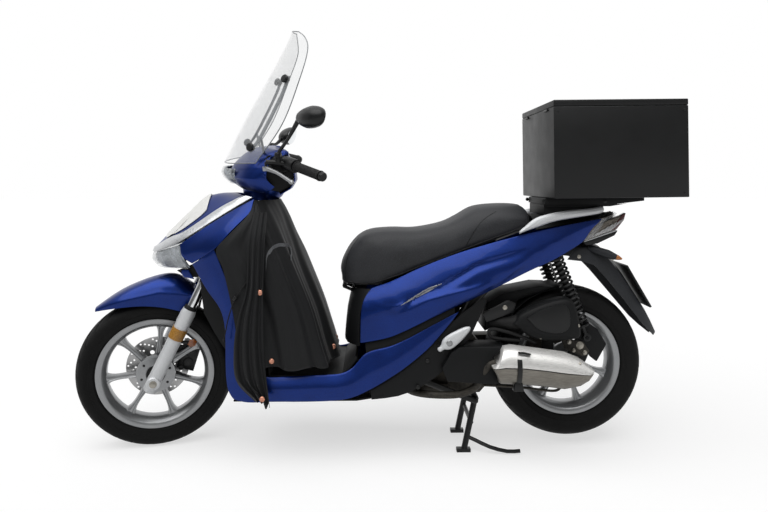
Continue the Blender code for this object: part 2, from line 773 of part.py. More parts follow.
TRIM_TOP = [(0.335, -0.120, 0.917), (0.250, -0.112, 0.872), (0.135, -0.105, 0.795),
            (0.075, -0.085, 0.770), (0.022, -0.040, 0.742), (0.004, 0.0, 0.736)]
TRIM_LOW = [(0.375, -0.146, 0.912), (0.300, -0.146, 0.868), (0.200, -0.146, 0.806),
            (0.115, -0.136, 0.754), (0.032, -0.086, 0.722), (-0.014, 0.0, 0.712)]
COWL_DEEP = (0.30, 0.0, 0.70)
CHIN = [
    # under the lamp at the left, top edge and low edge, open in the middle where the fender rises
    [(0.152, -0.139, 0.6585), (0.130, -0.130, 0.6578), (0.110, -0.122, 0.6572)],
    [(0.175, -0.150, 0.6280), (0.156, -0.142, 0.6302), (0.138, -0.134, 0.6325)],
]
CHIN_WALL = 0.003
CHIN_ARM_R = 0.003


def shifted(row, dx=0.0, dy=0.0, dz=0.0):
    return [(x + dx, y + dy, z + dz) for x, y, z in row]


def make_front_cowl():
    """Painted nose with the chin under the lamp, its bright trim, the lamp lens and the upper shields."""
    inner = shifted(TRIM_TOP, PANEL_GAP * 2, 0.0, PANEL_GAP)
    rows = []
    middles = ((0.286, 0.926), (0.192, 0.914), (0.120, 0.852), (0.062, 0.796), (0.024, 0.756), (0.010, 0.741))
    for (x, y, z), (mx, mz) in zip(inner, middles):
        y = min(y + WALL, -0.004)
        shoulder = ((x + mx) / 2, y * 0.5, z * 0.4 + mz * 0.6)
        rows.append(both_ways([(x, y, z), shoulder, (mx, 0.0, mz)]))
    adds = [panel_shape("front_cowl", rows, 8, 7, COWL_DEEP)]
    for side, share in ((-1, 1 / 3), (1, 2 / 3)):
        adds.append(panel_shape("chin", CHIN if side < 0 else flipped(CHIN), 2, 3, COWL_DEEP, CHIN_WALL))
        root = spot("front_cowl", 3 / 7, share, -WALL / 2)
        adds.append(rod(root, spot("chin", 1.0, 0.8, -CHIN_WALL / 2), CHIN_ARM_R, sides=6))
    joined("front_cowl", adds, "blue_paint", "chassis")
    middle = [((a[0] + b[0]) / 2 - 0.004, (a[1] + b[1]) / 2 - 0.003, (a[2] + b[2]) / 2 + 0.003)
              for a, b in zip(TRIM_TOP, TRIM_LOW)]
    middle[-1] = (middle[-1][0], 0.0, middle[-1][2])
    rows = [both_ways(TRIM_TOP), both_ways(middle), both_ways(TRIM_LOW)]
    panel("front_trim", rows, 3, 21, "bright_trim", "chassis", COWL_DEEP, 0.003)
    top = shifted(smooth(both_ways(TRIM_LOW), 21)[6:15], 0.0010, 0.0, -0.002)
    waist = [(0.126, -0.139, 0.702), (0.034, -0.092, 0.690), (-0.018, 0.0, 0.686)]
    low = [(0.150, -0.136, 0.662), (0.056, -0.090, 0.660), (0.002, 0.0, 0.662)]
    rows = [top, both_ways(waist), both_ways(low)]
    panel("front_lamp", rows, 5, 9, "clear_lens", "chassis", COWL_DEEP, 0.003)
    upper = [
        [(0.124, -0.141, 0.748), (0.202, -0.150, 0.801), (0.302, -0.150, 0.863), (0.382, -0.150, 0.906)],
        [(0.134, -0.152, 0.708), (0.214, -0.178, 0.762), (0.302, -0.186, 0.824), (0.379, -0.166, 0.884)],
        [(0.172, -0.164, 0.684), (0.256, -0.205, 0.737), (0.316, -0.205, 0.800), (0.376, -0.180, 0.862)],
    ]
    pair("shield_upper", upper, 5, 7, "blue_paint", "chassis", (0.30, 0.0, 0.75))


SHIELD_EDGE = [(0.376, -0.168, 0.866), (0.316, -0.204, 0.800), (0.262, -0.204, 0.735),
               (0.306, -0.214, 0.620), (0.330, -0.219, 0.500), (0.348, -0.223, 0.390),
               (0.366, -0.217, 0.330)]
SHIELD_STEP = 0.012
SHIELD_MIDDLE = (0.430, 0.435, 0.438, 0.436, 0.434, 0.438, 0.442)


def make_leg_shield():
    """Inner leg shield and floor, one moulding."""
    rows = []
    for (x, y, z), mx in zip(SHIELD_EDGE, SHIELD_MIDDLE):
        edge = x + SHIELD_STEP
        flank = (edge + (mx - edge) * 0.60, y * 0.62, z)
        rows.append(both_ways([(edge, y + 0.001, z), flank, (mx, 0.0, z)]))
    shield = panel_shape("leg_shield", rows, 9, 9, (0.20, 0.0, 0.55))
    low = TANK_Z[1] + GAP
    board = [(0.438, low), (0.700, low), (0.700, FLOOR_Z), (0.444, FLOOR_Z), (0.444, 0.345), (0.438, 0.345)]
    lip = [(0.690, low), (0.700, low), (0.742, 0.360), (0.735, 0.366), (0.690, FLOOR_Z)]
    adds = [shield, prism(board, -FLOOR_HALF, FLOOR_HALF), prism(lip, -LIP_HALF, LIP_HALF)]
    joined("leg_shield", adds, "black_plastic", "chassis")


FLOOR_SIDE = [
    # outer edge, middle and inner edge, from the front seam down and back along the floor
    [(0.173, -0.1645, 0.6825), (0.215, -0.190, 0.708), (0.2565, -0.2055, 0.7355)],
    [(0.226, -0.185, 0.600), (0.268, -0.207, 0.612), (0.304, -0.216, 0.622)],
    [(0.287, -0.204, 0.512), (0.308, -0.214, 0.506), (0.328, -0.221, 0.500)],
    [(0.297, -0.208, 0.380), (0.322, -0.219, 0.385), (0.346, -0.225, 0.390)],
    [(0.303, -0.206, 0.270), (0.335, -0.218, 0.300), (0.362, -0.221, 0.325)],
    [(0.340, -0.204, 0.222), (0.385, -0.217, 0.268), (0.420, -0.203, 0.306)],
    [(0.460, -0.205, 0.220), (0.460, -0.215, 0.262), (0.470, -0.199, 0.302)],
    [(0.600, -0.205, 0.220), (0.600, -0.215, 0.265), (0.600, -0.199, 0.308)],
    [(0.706, -0.205, 0.228), (0.706, -0.214, 0.272), (0.706, -0.198, 0.318)],
    [(0.780, -0.202, 0.256), (0.780, -0.208, 0.310), (0.770, -0.190, 0.378)],
    [(0.845, -0.199, 0.292), (0.845, -0.202, 0.342), (0.840, -0.186, 0.397)],
    [(0.910, -0.194, 0.334), (0.910, -0.196, 0.378), (0.905, -0.186, 0.422)],
    [(0.994, -0.190, 0.404), (0.998, -0.191, 0.440), (1.000, -0.186, 0.472)],
    [(1.068, -0.187, 0.490), (1.080, -0.187, 0.506), (1.090, -0.186, 0.519)],
]
FLOOR_Z = 0.306
FLOOR_HALF = 0.1935
LIP_HALF = 0.1820
TANK_Z = (0.228, 0.297)


def make_floor():
    pair("floor_side", FLOOR_SIDE, 23, 5, "blue_paint", "chassis", (0.60, 0.0, 0.40))
    inner = RAIL_Y - RAIL_R - GAP
    tank = block((0.470, -inner, TANK_Z[0]), (0.690, inner, TANK_Z[1]))
    solid("fuel_tank", tank, "black_plastic", "chassis")


WHEEL_GUARD = (
    # x, height, half width
    (0.368, 0.630, 0.130),
    (0.350, 0.580, 0.150),
    (0.330, 0.480, 0.170),
    (0.322, 0.350, 0.180),
    (0.320, 0.218, 0.184),
)
ARCH_CHEEK = [(0.200, 0.648), (0.202, 0.585), (0.212, 0.512), (0.245, 0.449), (0.275, 0.400), (0.305, 0.360),
              (0.346, 0.360), (0.350, 0.480), (0.338, 0.560), (0.300, 0.600), (0.262, 0.648)]
ARCH_CHEEK_Y = (0.1545, 0.1585)
BELLY_PLATE = [(0.320, 0.2165), (0.740, 0.2165), (0.830, 0.230), (0.830, 0.235), (0.738, 0.2215),
               (0.320, 0.2215)]
LOWER_COVER = [
    [(0.786, -0.1945, 0.252), (0.850, -0.192, 0.286), (0.915, -0.187, 0.329), (0.999, -0.183, 0.400),
     (1.074, -0.180, 0.486), (1.130, -0.178, 0.532), (1.180, -0.175, 0.566)],
    [(0.790, -0.192, 0.232), (0.880, -0.190, 0.272), (0.960, -0.188, 0.316), (1.040, -0.186, 0.372),
     (1.098, -0.183, 0.446), (1.145, -0.180, 0.504), (1.184, -0.175, 0.560)],
    [(0.790, -0.186, 0.219), (0.880, -0.186, 0.230), (0.960, -0.184, 0.262), (1.050, -0.182, 0.326),
     (1.120, -0.180, 0.416), (1.158, -0.178, 0.488), (1.188, -0.174, 0.553)],
]
SILL = [
    # the dark strip that shows between the side cover and the floor's side, down to the lower cover
    [(0.768, -0.166, 0.408), (0.840, -0.172, 0.424), (0.905, -0.173, 0.449), (1.000, -0.174, 0.495),
     (1.078, -0.172, 0.536)],
    [(0.775, -0.176, 0.340), (0.845, -0.180, 0.356), (0.910, -0.179, 0.390), (1.000, -0.178, 0.448),
     (1.078, -0.175, 0.512)],
    [(0.800, -0.1915, 0.258), (0.852, -0.1895, 0.284), (0.916, -0.1845, 0.327), (0.999, -0.1805, 0.397),
     (1.074, -0.1775, 0.482)],
]
BELLY_INSIDE = (0.90, 0.0, 0.30)


def make_belly():
    """Wheel guard with its cheeks, belly plate, lower side covers and sills, one moulding."""
    rows = []
    for x, z, half in WHEEL_GUARD:
        rows.append(both_ways([(x + 0.004, -half, z), (x, -half * 0.5, z), (x, 0.0, z)]))
    adds = [panel_shape("wheel_guard", rows, 7, 7, (0.60, 0.0, 0.45))]
    adds.append(prism(BELLY_PLATE, -0.190, 0.190))
    for side, word in ((-1, "left"), (1, "right")):
        cover = LOWER_COVER if side < 0 else flipped(LOWER_COVER)
        sill = SILL if side < 0 else flipped(SILL)
        adds.append(panel_shape("lower_cover_" + word, cover, 4, 13, BELLY_INSIDE))
        adds.append(panel_shape("sill_" + word, sill, 3, 7, BELLY_INSIDE, 0.003))
        adds.append(prism(ARCH_CHEEK, *(side * y for y in ARCH_CHEEK_Y)))
        adds += peg_bracket(side)
    joined("belly_tub", adds, "black_plastic", "chassis")


SIDE_TOP = [(0.790, -0.140, 0.594), (0.860, -0.150, 0.619), (0.960, -0.154, 0.666), (1.080, -0.158, 0.713),
            (1.190, -0.160, 0.747), (1.300, -0.158, 0.776), (1.410, -0.146, 0.800), (1.520, -0.124, 0.819),
            (1.616, -0.100, 0.833)]
SIDE_HIGH = [(0.766, -0.154, 0.560), (0.850, -0.168, 0.584), (0.955, -0.176, 0.622), (1.075, -0.181, 0.662),
             (1.190, -0.181, 0.698), (1.300, -0.174, 0.732), (1.410, -0.158, 0.768), (1.510, -0.132, 0.796),
             (1.600, -0.106, 0.818)]
SIDE_CREASE = [(0.754, -0.166, 0.512), (0.845, -0.184, 0.532), (0.950, -0.194, 0.556), (1.070, -0.198, 0.582),
               (1.185, -0.196, 0.618), (1.300, -0.186, 0.676), (1.410, -0.164, 0.732), (1.500, -0.136, 0.772),
               (1.580, -0.110, 0.800)]
SIDE_LOW = [(0.752, -0.176, 0.411), (0.838, -0.184, 0.428), (0.904, -0.184, 0.453), (1.000, -0.184, 0.499),
            (1.100, -0.184, 0.545), (1.205, -0.180, 0.592), (1.330, -0.168, 0.652), (1.440, -0.148, 0.698),
            (1.540, -0.118, 0.752)]


def make_side_covers():
    rows = [SIDE_TOP, SIDE_HIGH, SIDE_CREASE, SIDE_LOW]
    pair("side_cover", rows, 7, 15, "blue_paint", "chassis", (1.10, 0.0, 0.60))
    nose = [
        [(0.7860, -0.1385, 0.590), (0.738, -0.100, 0.588), (0.720, 0.0, 0.586)],
        [(0.7500, -0.1640, 0.510), (0.714, -0.110, 0.508), (0.702, 0.0, 0.506)],
        [(0.7480, -0.1740, 0.400), (0.706, -0.118, 0.400), (0.692, 0.0, 0.400)],
    ]
    adds = [panel_shape("seat_front", [both_ways(row) for row in nose], 5, 9, (1.10, 0.0, 0.50))]
    adds.append(rod((SEAT_HINGE_X, -0.044, SEAT_HINGE_Z), (SEAT_HINGE_X, 0.044, SEAT_HINGE_Z), SEAT_PIN_R))
    for y in (-0.040, 0.040):
        adds.append(rod((SEAT_HINGE_X - 0.004, y, SEAT_HINGE_Z), (0.724, y, 0.570), 0.006, sides=10))
    joined("seat_front_cover", adds, "black_plastic", "chassis")


def make_tail():
    lens = [
        [(1.6180, -0.0990, 0.8335), (1.672, -0.066, 0.8445), (1.704, 0.0, 0.850)],
        [(1.5860, -0.1110, 0.7980), (1.652, -0.076, 0.8180), (1.690, 0.0, 0.824)],
        [(1.5450, -0.1160, 0.7540), (1.606, -0.086, 0.7800), (1.650, 0.0, 0.790)],
    ]
    lens_rows = [both_ways(row) for row in lens]
    panel("tail_lamp", lens_rows, 5, 9, "red_lens", "chassis", (1.30, 0.0, 0.78), 0.003)
    top = [
        [(1.368, -0.140, 0.798), (1.368, -0.080, 0.838), (1.368, 0.0, 0.846)],
        [(1.520, -0.117, 0.8215), (1.520, -0.060, 0.840), (1.520, 0.0, 0.846)],
        [(1.614, -0.094, 0.8375), (1.650, -0.056, 0.846), (1.694, 0.0, 0.8535)],
    ]
    cover = panel_shape("tail_top", [both_ways(row) for row in top], 6, 9, (1.50, 0.0, 0.60), 0.003)
    front = BOX_X - 0.004
    plate = [(front, RACK_Z), (1.640, RACK_Z), (1.760, RACK_Z + 0.014), (1.760, BOX_Z + 0.0036),
             (BOX_X, BOX_Z - PANEL_GAP), (front, BOX_Z - 0.004)]
    adds = [cover, prism(plate, -0.120, 0.120)]
    adds.append(block((1.620, -0.020, RAIL_TOP + PANEL_GAP), (1.640, 0.020, RACK_Z + 0.003)))
    for x in (1.430, 1.560):
        adds.append(block((x, -0.040, 0.842), (x + 0.040, 0.040, RACK_Z + 0.004)))
    joined("carrier_rack", adds, "black_plastic", "chassis")


MUDGUARD = (
    # top x from the rear axle and height, side edge x and height, half width
    (0.028, 0.742, -0.010, 0.684, 0.082),
    (0.114, 0.736, 0.080, 0.668, 0.082),
    (0.190, 0.654, 0.140, 0.606, 0.078),
    (0.247, 0.566, 0.208, 0.526, 0.072),
    (0.297, 0.490, 0.274, 0.446, 0.058),
    (0.339, 0.412, 0.329, 0.396, 0.020),
)
INDICATOR = (
    # reach from the mudguard, half height, half width
    (0.0, 0.008, 0.007),
    (0.030, 0.014, 0.010),
    (0.070, 0.016, 0.013),
    (0.100, 0.010, 0.009),
    (0.118, 0.003, 0.004),
)
INDICATOR_WAY = (0.84, 0.46, -0.29)


def make_rear_mudguard():
    """Rear mudguard with an indicator swept back from each side."""
    rows = []
    for top_x, top_z, edge_x, edge_z, half in MUDGUARD:
        top_x, edge_x = WHEELBASE + top_x, WHEELBASE + edge_x
        flank = (edge_x + (top_x - edge_x) * 0.75, -half * 0.92, edge_z + (top_z - edge_z) * 0.75)
        rows.append(both_ways([(edge_x, -half, edge_z), flank, (top_x, 0.0, top_z)]))
    adds = [panel_shape("rear_mudguard", rows, 10, 9, (1.50, 0.0, 0.40), 0.003)]
    for side in (-1, 1):
        x, y, z = INDICATOR_WAY
        way = np.array([x, side * y, z])
        first, second = across_frame(way)
        root = spot("rear_mudguard", 0.11, 0.5 + side * 0.25, -0.001)
        loops = [round_loop(root + way * reach, first, second, tall, wide, 8)
                 for reach, tall, wide in INDICATOR]
        adds.append(rings(loops))
    joined("rear_mudguard", adds, "black_plastic", "chassis")


def make_grab_rail():
    """One cast rail round the tail, flat on top where the rack sits."""
    bends = [(1.302, -0.172, 0.790), (1.360, -0.176, 0.824), (1.440, -0.170, 0.846), (1.540, -0.150, 0.858)]
    path = smooth(bends + [(1.610, -0.110, 0.866), (1.630, 0.0, RAIL_TOP - 0.010)], 11)
    halves = np.interp(np.arange(11), (0, 2, 6, 10), (0.005, 0.017, 0.013, 0.010))
    right = [(x, -y, z) for x, y, z in path[-2::-1]]
    line = np.vstack([path, right])
    tall = np.concatenate([halves, halves[-2::-1]])
    loops = []
    for k, centre in enumerate(line):
        way = line[min(k + 1, len(line) - 1)] - line[max(k - 1, 0)]
        flat = np.cross(way / np.linalg.norm(way), np.array([0.0, 0.0, 1.0]))
        flat /= np.linalg.norm(flat)
        loops.append(round_loop(centre, flat, np.array([0.0, 0.0, 1.0]), 0.010, tall[k], 8))
    solid("grab_rail", rings(loops), "silver_paint", "chassis")


def tilted(points):
    """Points of the box turned about its front lower edge by its pitch."""
    c, s = math.cos(BOX_PITCH), math.sin(BOX_PITCH)
    return [(BOX_X + x * c - z * s, y, BOX_Z + x * s + z * c) for x, y, z in points]


def tilted_shape(shape):
    points, faces = shape
    return tilted(points), faces


def make_load_box():
    half = BOX_WIDTH / 2
    base = BOX_HEIGHT - LID_HEIGHT
    outer = block((0.0, -half, 0.0), (BOX_LENGTH, half, base))
    inner = half - BOX_WALL
    far = BOX_LENGTH - BOX_WALL
    hollow = block((BOX_WALL, -inner, BOX_WALL), (far, inner, base + 0.01))
    joined("box_body", [tilted_shape(outer)], "black_plastic", "chassis", [tilted_shape(hollow)])
    lid = block((0.0, -half, base + PANEL_GAP), (BOX_LENGTH, half, BOX_HEIGHT))
    under = block((BOX_WALL, -inner, base - 0.01), (far, inner, BOX_HEIGHT - BOX_WALL))
    joined("box_lid", [tilted_shape(lid)], "black_plastic", "box_lid", [tilted_shape(under)])


def seat_pan(x):
    """Height of the seat's underside: level at the nose, then sloping up."""
    return SEAT_PAN_Z + max(x - SEAT_PAN_X, 0.0) * SEAT_PAN_SLOPE


SEAT = (
    # x, top height, half width, share of the width at the top
    (0.678, 0.630, 0.060, 0.60),
    (0.690, 0.690, 0.104, 0.60),
    (0.720, 0.744, 0.128, 0.62),
    (0.776, 0.786, 0.140, 0.66),
    (0.860, 0.796, 0.148, 0.68),
    (0.950, 0.795, 0.152, 0.68),
    (1.050, 0.814, 0.152, 0.66),
    (1.110, 0.842, 0.151, 0.62),
    (1.168, 0.874, 0.150, 0.58),
    (1.260, 0.884, 0.146, 0.56),
    (1.340, 0.880, 0.132, 0.54),
    (1.358, 0.866, 0.116, 0.54),
)


def make_seat():
    loops = []
    for x, top, half, share in SEAT:
        low = seat_pan(x)
        rise = top - low
        ring = []
        for y, z in ((0.92, 0.0), (1.0, 0.22), (0.97, 0.55), (share + 0.14, 0.88), (share * 0.55, 0.985)):
            ring.append((y * half, low + rise * z))
        loop = [np.array([x, y, z]) for y, z in ring] + [np.array([x, 0.0, top])]
        loop += [np.array([x, -y, z]) for y, z in ring[::-1]] + [np.array([x, 0.0, low])]
        loops.append(loop)
    hinge = np.array([SEAT_HINGE_X, 0.0, SEAT_HINGE_Z])
    lug = rod(hinge - SIDE * HINGE_LUG, hinge + SIDE * HINGE_LUG, SEAT_HINGE_R)
    web = 0.006
    rise = block((SEAT_HINGE_X - web, -HINGE_LUG, SEAT_HINGE_Z + web),
                 (SEAT_HINGE_X + web, HINGE_LUG, SEAT_PAN_Z + 0.010))
    pin = rod(hinge - SIDE * 0.1, hinge + SIDE * 0.1, bored(SEAT_PIN_R))
    joined("seat", [rings(loops), rise, lug], "seat_vinyl", "seat", [pin])
    inner = RAIL_Y - RAIL_R - GAP
    rim = 0.0008
    floor = [(0.845, 0.480), (1.050, 0.480), (1.225, 0.600)]
    lid = [(1.235, seat_pan(1.235) - rim), (0.830, seat_pan(0.830) - rim)]
    shell = prism(floor + lid, -inner, inner)
    hollow_floor = [(0.849, 0.484), (1.048, 0.484), (1.221, 0.603)]
    hollow_lid = [(1.231, seat_pan(1.231) + 0.02), (0.835, seat_pan(0.835) + 0.02)]
    hollow = prism(hollow_floor + hollow_lid, -inner + WALL, inner - WALL)
    joined("seat_bucket", [shell], "black_plastic", "chassis", [hollow])


APRON_ROWS = (
    # height, rear x, side half width, side front x
    (0.901, 0.462, 0.152, 0.3836),
    (0.850, 0.490, 0.192, 0.3860),
    (0.778, 0.518, 0.218, 0.350),
    (0.666, 0.566, 0.230, 0.330),
    (0.530, 0.622, 0.234, 0.346),
    (0.420, 0.656, 0.236, 0.364),
    (0.345, 0.680, 0.236, 0.372),
)
APRON_INSIDE = (0.40, 0.0, 0.60)
FOLDS = 7
FOLD_DEPTH = 0.012


def make_apron():
    """Cloth leg cover, tied at the leg shield and hanging in folds to the floor."""
    rows = []
    for z, rear, half, front in APRON_ROWS:
        corner = rear - 0.060
        side = [(front, -half * 0.985, z), ((front + corner) / 2, -half * 1.01, z), (corner, -half, z)]
        rows.append(both_ways(side + [(rear - 0.004, -half * 0.62, z), (rear, 0.0, z)]))
    grid = skin(rows, 10, 29)
    normals = grid_normals(grid, APRON_INSIDE)
    around = np.linspace(0, 2 * math.pi * FOLDS, grid.shape[1])
    fall = np.linspace(0.15, 1.0, grid.shape[0])
    hold = np.minimum(1.0, np.linspace(0, 10, grid.shape[1]))
    hold = np.minimum(hold, hold[::-1])
    wave = np.sin(around)[None, :] * fall[:, None] * hold[None, :] * FOLD_DEPTH
    grid = grid + normals * wave[:, :, None]
    normals = grid_normals(grid, APRON_INSIDE)
    solid("leg_apron", walled(grid, normals, CLOTH), "black_cloth", "chassis")


def make_rear_wheel():
    tyre("rear_tyre", REAR_R, REAR_HALF, REAR_SEAT_R, REAR_SEAT_HALF, REAR_AXLE, "rear_wheel")
    wheel("rear_rim", REAR_SEAT_R, REAR_SEAT_HALF, REAR_AXLE, "rear_wheel")


CASE_SIDE = [(1.000, 0.250), (1.030, 0.214), (1.176, 0.212), (1.210, 0.250), (1.205, 0.350), (1.150, 0.420),
             (1.060, 0.425), (1.000, 0.380)]
CASE_HALF = 0.094
BARREL_SIDE = [(0.860, 0.262), (0.975, 0.250), (1.010, 0.262), (1.010, 0.325), (0.965, 0.330), (0.860, 0.322)]
BARREL_HALF = 0.070
ARM_T = 0.008
HUGGER_HALF = 0.078
MUFFLER_Y = -0.200
MUFFLER_R = 0.062
AIR_BOX_Y = -0.140
HANGER_X = -0.177
STAY_X = -0.087


def make_swing_unit():
    """Crankcase on the frame's pivot, with cylinder, transmission, arm and axle."""
    lug = rod((SWING_X, -CASE_HALF, SWING_Z), (SWING_X, CASE_HALF, SWING_Z), 0.024)
    case = prism(CASE_SIDE, -CASE_HALF, CASE_HALF)
    pin = rod((SWING_X, -0.2, SWING_Z), (SWING_X, 0.2, SWING_Z), bored(PIVOT_R))
    barrel = prism(BARREL_SIDE, -BARREL_HALF, BARREL_HALF)
    joined("engine_block", [case, lug, barrel], "cast_metal", "swing_unit", [pin])
    near = CASE_HALF + GAP
    ends = ((1.122, 0.303, 0.068), (WHEELBASE, REAR_AXLE[2], 0.070))
    outline = []
    for (x, z, radius), start in zip(ends, (90, 270)):
        turns = np.radians(np.arange(start, start + 181, 30))
        outline += [(x + radius * math.cos(a), z + radius * math.sin(a)) for a in turns]
    bore = rod(REAR_AXLE - SIDE * 0.3, REAR_AXLE + SIDE * (near + 0.03), AXLE_R + GAP)
    axle = rod(REAR_AXLE - SIDE * (near + ARM_T + 0.012), REAR_AXLE + SIDE * (near + 0.028), AXLE_R)
    adds = [prism(outline, near, near + 0.062), shock_pin(1), axle]
    horn_root = (SHOCK_LOW_X - 0.025, near, REAR_AXLE[2] + 0.05)
    adds.append(rod((SHOCK_LOW_X, near, SHOCK_LOW_Z), horn_root, 0.009))
    joined("transmission_case", adds, "cast_metal", "swing_unit")
    front = [(1.120, 0.385), (1.120, 0.268)]
    eye = [(0.036, 0.405), (0.014, 0.438), (-0.021, 0.430)]
    tower = [(-0.017, 0.352), (-0.065, 0.358), (-0.071, 0.462), (-0.103, 0.462), (-0.109, 0.362)]
    tower.append((-0.207, 0.372))
    arm = front + [(WHEELBASE + x, z) for x, z in ((-0.207, 0.276), (-0.010, 0.272), (0.038, 0.300))]
    arm += [(SHOCK_LOW_X + x, z) for x, z in eye] + [(WHEELBASE + x, z) for x, z in tower]
    hanger_x = WHEELBASE + HANGER_X
    hanger = rod((hanger_x, -near, 0.334), (hanger_x, MUFFLER_Y + MUFFLER_R + GAP, 0.334), 0.009)
    stay_x = WHEELBASE + STAY_X
    stay = rod((stay_x, -near, 0.446), (stay_x, AIR_BOX_Y + GAP, 0.446), 0.008)
    rows = []
    for angle in range(98, 176, 15):
        out = np.array([math.cos(math.radians(angle)), 0.0, math.sin(math.radians(angle))])
        rim = REAR_AXLE + out * (REAR_R + 0.004)
        crown = REAR_AXLE + out * (REAR_R + 0.014)
        left = np.interp(angle, (128, 158), (-HUGGER_HALF, -near - ARM_T / 2))
        right = np.interp(angle, (128, 158), (HUGGER_HALF, CASE_HALF - GAP))
        crest = [tuple(crown + SIDE * left * 0.6), tuple(crown + SIDE * right * 0.6)]
        rows.append([tuple(rim + SIDE * left)] + crest + [tuple(rim + SIDE * right)])
    hugger = panel_shape("hugger", rows, 7, 6, tuple(REAR_AXLE), 0.003)
    adds = [prism(arm, -near - ARM_T, -near), hanger, stay, shock_pin(-1), hugger]
    joined("swing_arm", adds, "black_plastic", "swing_unit", [bore])


def shock_pin(side):
    """The stub that a shock's lower eye hangs round."""
    low = SHOCK_LOW + SIDE * side * (SHOCK_Y - EYE_HALF - 0.012)
    return rod(low, SHOCK_LOW + SIDE * side * (SHOCK_Y + EYE_HALF + 0.002), SHOCK_PIN_R)


AIR_BOX_SIDE = ((-0.235, 0.474), (-0.195, 0.517), (-0.082, 0.560), (-0.019, 0.552),
                (0.009, 0.448), (-0.017, 0.420), (-0.145, 0.420))


def make_air_box():
    side = [(WHEELBASE + x, z) for x, z in AIR_BOX_SIDE]
    mid_x, mid_z = np.mean(side, axis=0)
    loops = []
    for y, share in ((AIR_BOX_Y, 0.96), (-0.150, 1.0), (-0.176, 1.0), (-0.192, 0.90), (-0.198, 0.70)):
        loops.append([np.array([mid_x + (x - mid_x) * share, y, mid_z + (z - mid_z) * share])
                      for x, z in side])
    solid("air_box", rings(loops), "black_plastic", "swing_unit")


MUFFLER = (
    # x from the rear axle, radius
    (-0.315, 0.018),
    (-0.301, 0.044),
    (-0.257, 0.0618),
    (-0.147, MUFFLER_R),
    (-0.027, 0.058),
    (0.021, 0.044),
    (0.036, 0.020),
)
MUFFLER_Z = 0.349
MUFFLER_SLOPE = 0.110


def make_exhaust():
    loops = []
    for x, radius in MUFFLER:
        drop = (x - MUFFLER[0][0]) * MUFFLER_SLOPE
        centre = np.array([WHEELBASE + x, MUFFLER_Y, MUFFLER_Z - drop])
        loops.append(round_loop(centre, SIDE, np.array([0.0, 0.0, 1.0]), radius, radius * 1.04, 16))
    start = np.array([0.905, -0.040, 0.238])
    path = [start, (0.925, -0.080, 0.218), (0.985, -0.154, 0.226), (WHEELBASE - 0.417, -0.168, 0.230),
            (WHEELBASE - 0.357, -0.180, 0.262), (WHEELBASE - 0.321, -0.198, 0.332),
            (WHEELBASE - 0.292, MUFFLER_Y, MUFFLER_Z)]
    joined("exhaust", [rings(loops), tube(path, 0.013, 22, 10)], "silver_paint", "swing_unit")


def make_shocks():
    """Each shock: upper eye and damper, sliding rod and lower eye, and its spring."""
    def down(d, y):
        return SHOCK_TOP + SHOCK_DOWN * d + SIDE * y

    for side, word in ((-1, "left"), (1, "right")):
        y = side * SHOCK_Y
        eye = rod(down(0, y - EYE_HALF), down(0, y + EYE_HALF), EYE_R)
        damper = rod(down(0.004, y), down(0.190, y), DAMPER_R)
        collar = rod(down(0.030, y), down(0.030 + COLLAR_T, y), COLLAR_R)
        pin = rod(down(0, y - 0.03), down(0, y + 0.03), bored(SHOCK_PIN_R))
        bore = rod(down(0.060, y), down(0.220, y), bored(ROD_R))
        joined("shock_body_" + word, [eye, damper, collar], "black_plastic", "shock_upper", [pin, bore])
        low_eye = rod(down(SHOCK_LENGTH, y - EYE_HALF), down(SHOCK_LENGTH, y + EYE_HALF), EYE_R)
        piston = rod(down(0.150, y), down(SHOCK_LENGTH - 0.010, y), ROD_R)
        foot = rod(down(SHOCK_LENGTH - 0.050, y), down(SHOCK_LENGTH - 0.050 + COLLAR_T, y), COLLAR_R)
        hole = rod(down(SHOCK_LENGTH, y - 0.03), down(SHOCK_LENGTH, y + 0.03), SHOCK_PIN_R + SHOCK_PLAY)
        joined("shock_rod_" + word, [low_eye, piston, foot], "steel", "shock_lower", [hole])
        first, second = across_frame(SHOCK_DOWN)
        top = 0.030 + COLLAR_T + WIRE_R + GAP
        low = SHOCK_LENGTH - 0.050 - WIRE_R - GAP
        count = COIL_TURNS * COIL_POINTS
        coil = []
        for k in range(count + 1):
            angle = 2 * math.pi * k / COIL_POINTS
            centre = down(top + (low - top) * k / count, y)
            coil.append(centre + (first * math.cos(angle) + second * math.sin(angle)) * COIL_R)
        line = np.array(coil)
        apart = [np.linalg.norm(line[k + COIL_POINTS // 2:] - line[k], axis=1).min()
                 for k in range(count + 1 - COIL_POINTS // 2)]
        print("spring_" + word, "least gap to itself, mm:", round((min(apart) - 2 * WIRE_R) * 1000, 2))
        make_coil("spring_" + word, coil)


def make_coil(name, coil):
    """One unbroken wire along the coil's points."""
    curve = bpy.data.curves.new(name, "CURVE")
    curve.dimensions = "3D"
    curve.bevel_depth = WIRE_R
    curve.bevel_resolution = 1
    curve.use_fill_caps = True
    empty, pivot = bodies["shock_upper"]
    line = curve.splines.new("POLY")
    line.points.add(len(coil) - 1)
    for point, place_at in zip(line.points, coil):
        point.co = (*(place_at - pivot), 1.0)
    curve.materials.append(finish_material("black_plastic"))
    thing = bpy.data.objects.new(name, curve)
    bpy.context.scene.collection.objects.link(thing)
    thing.parent = empty


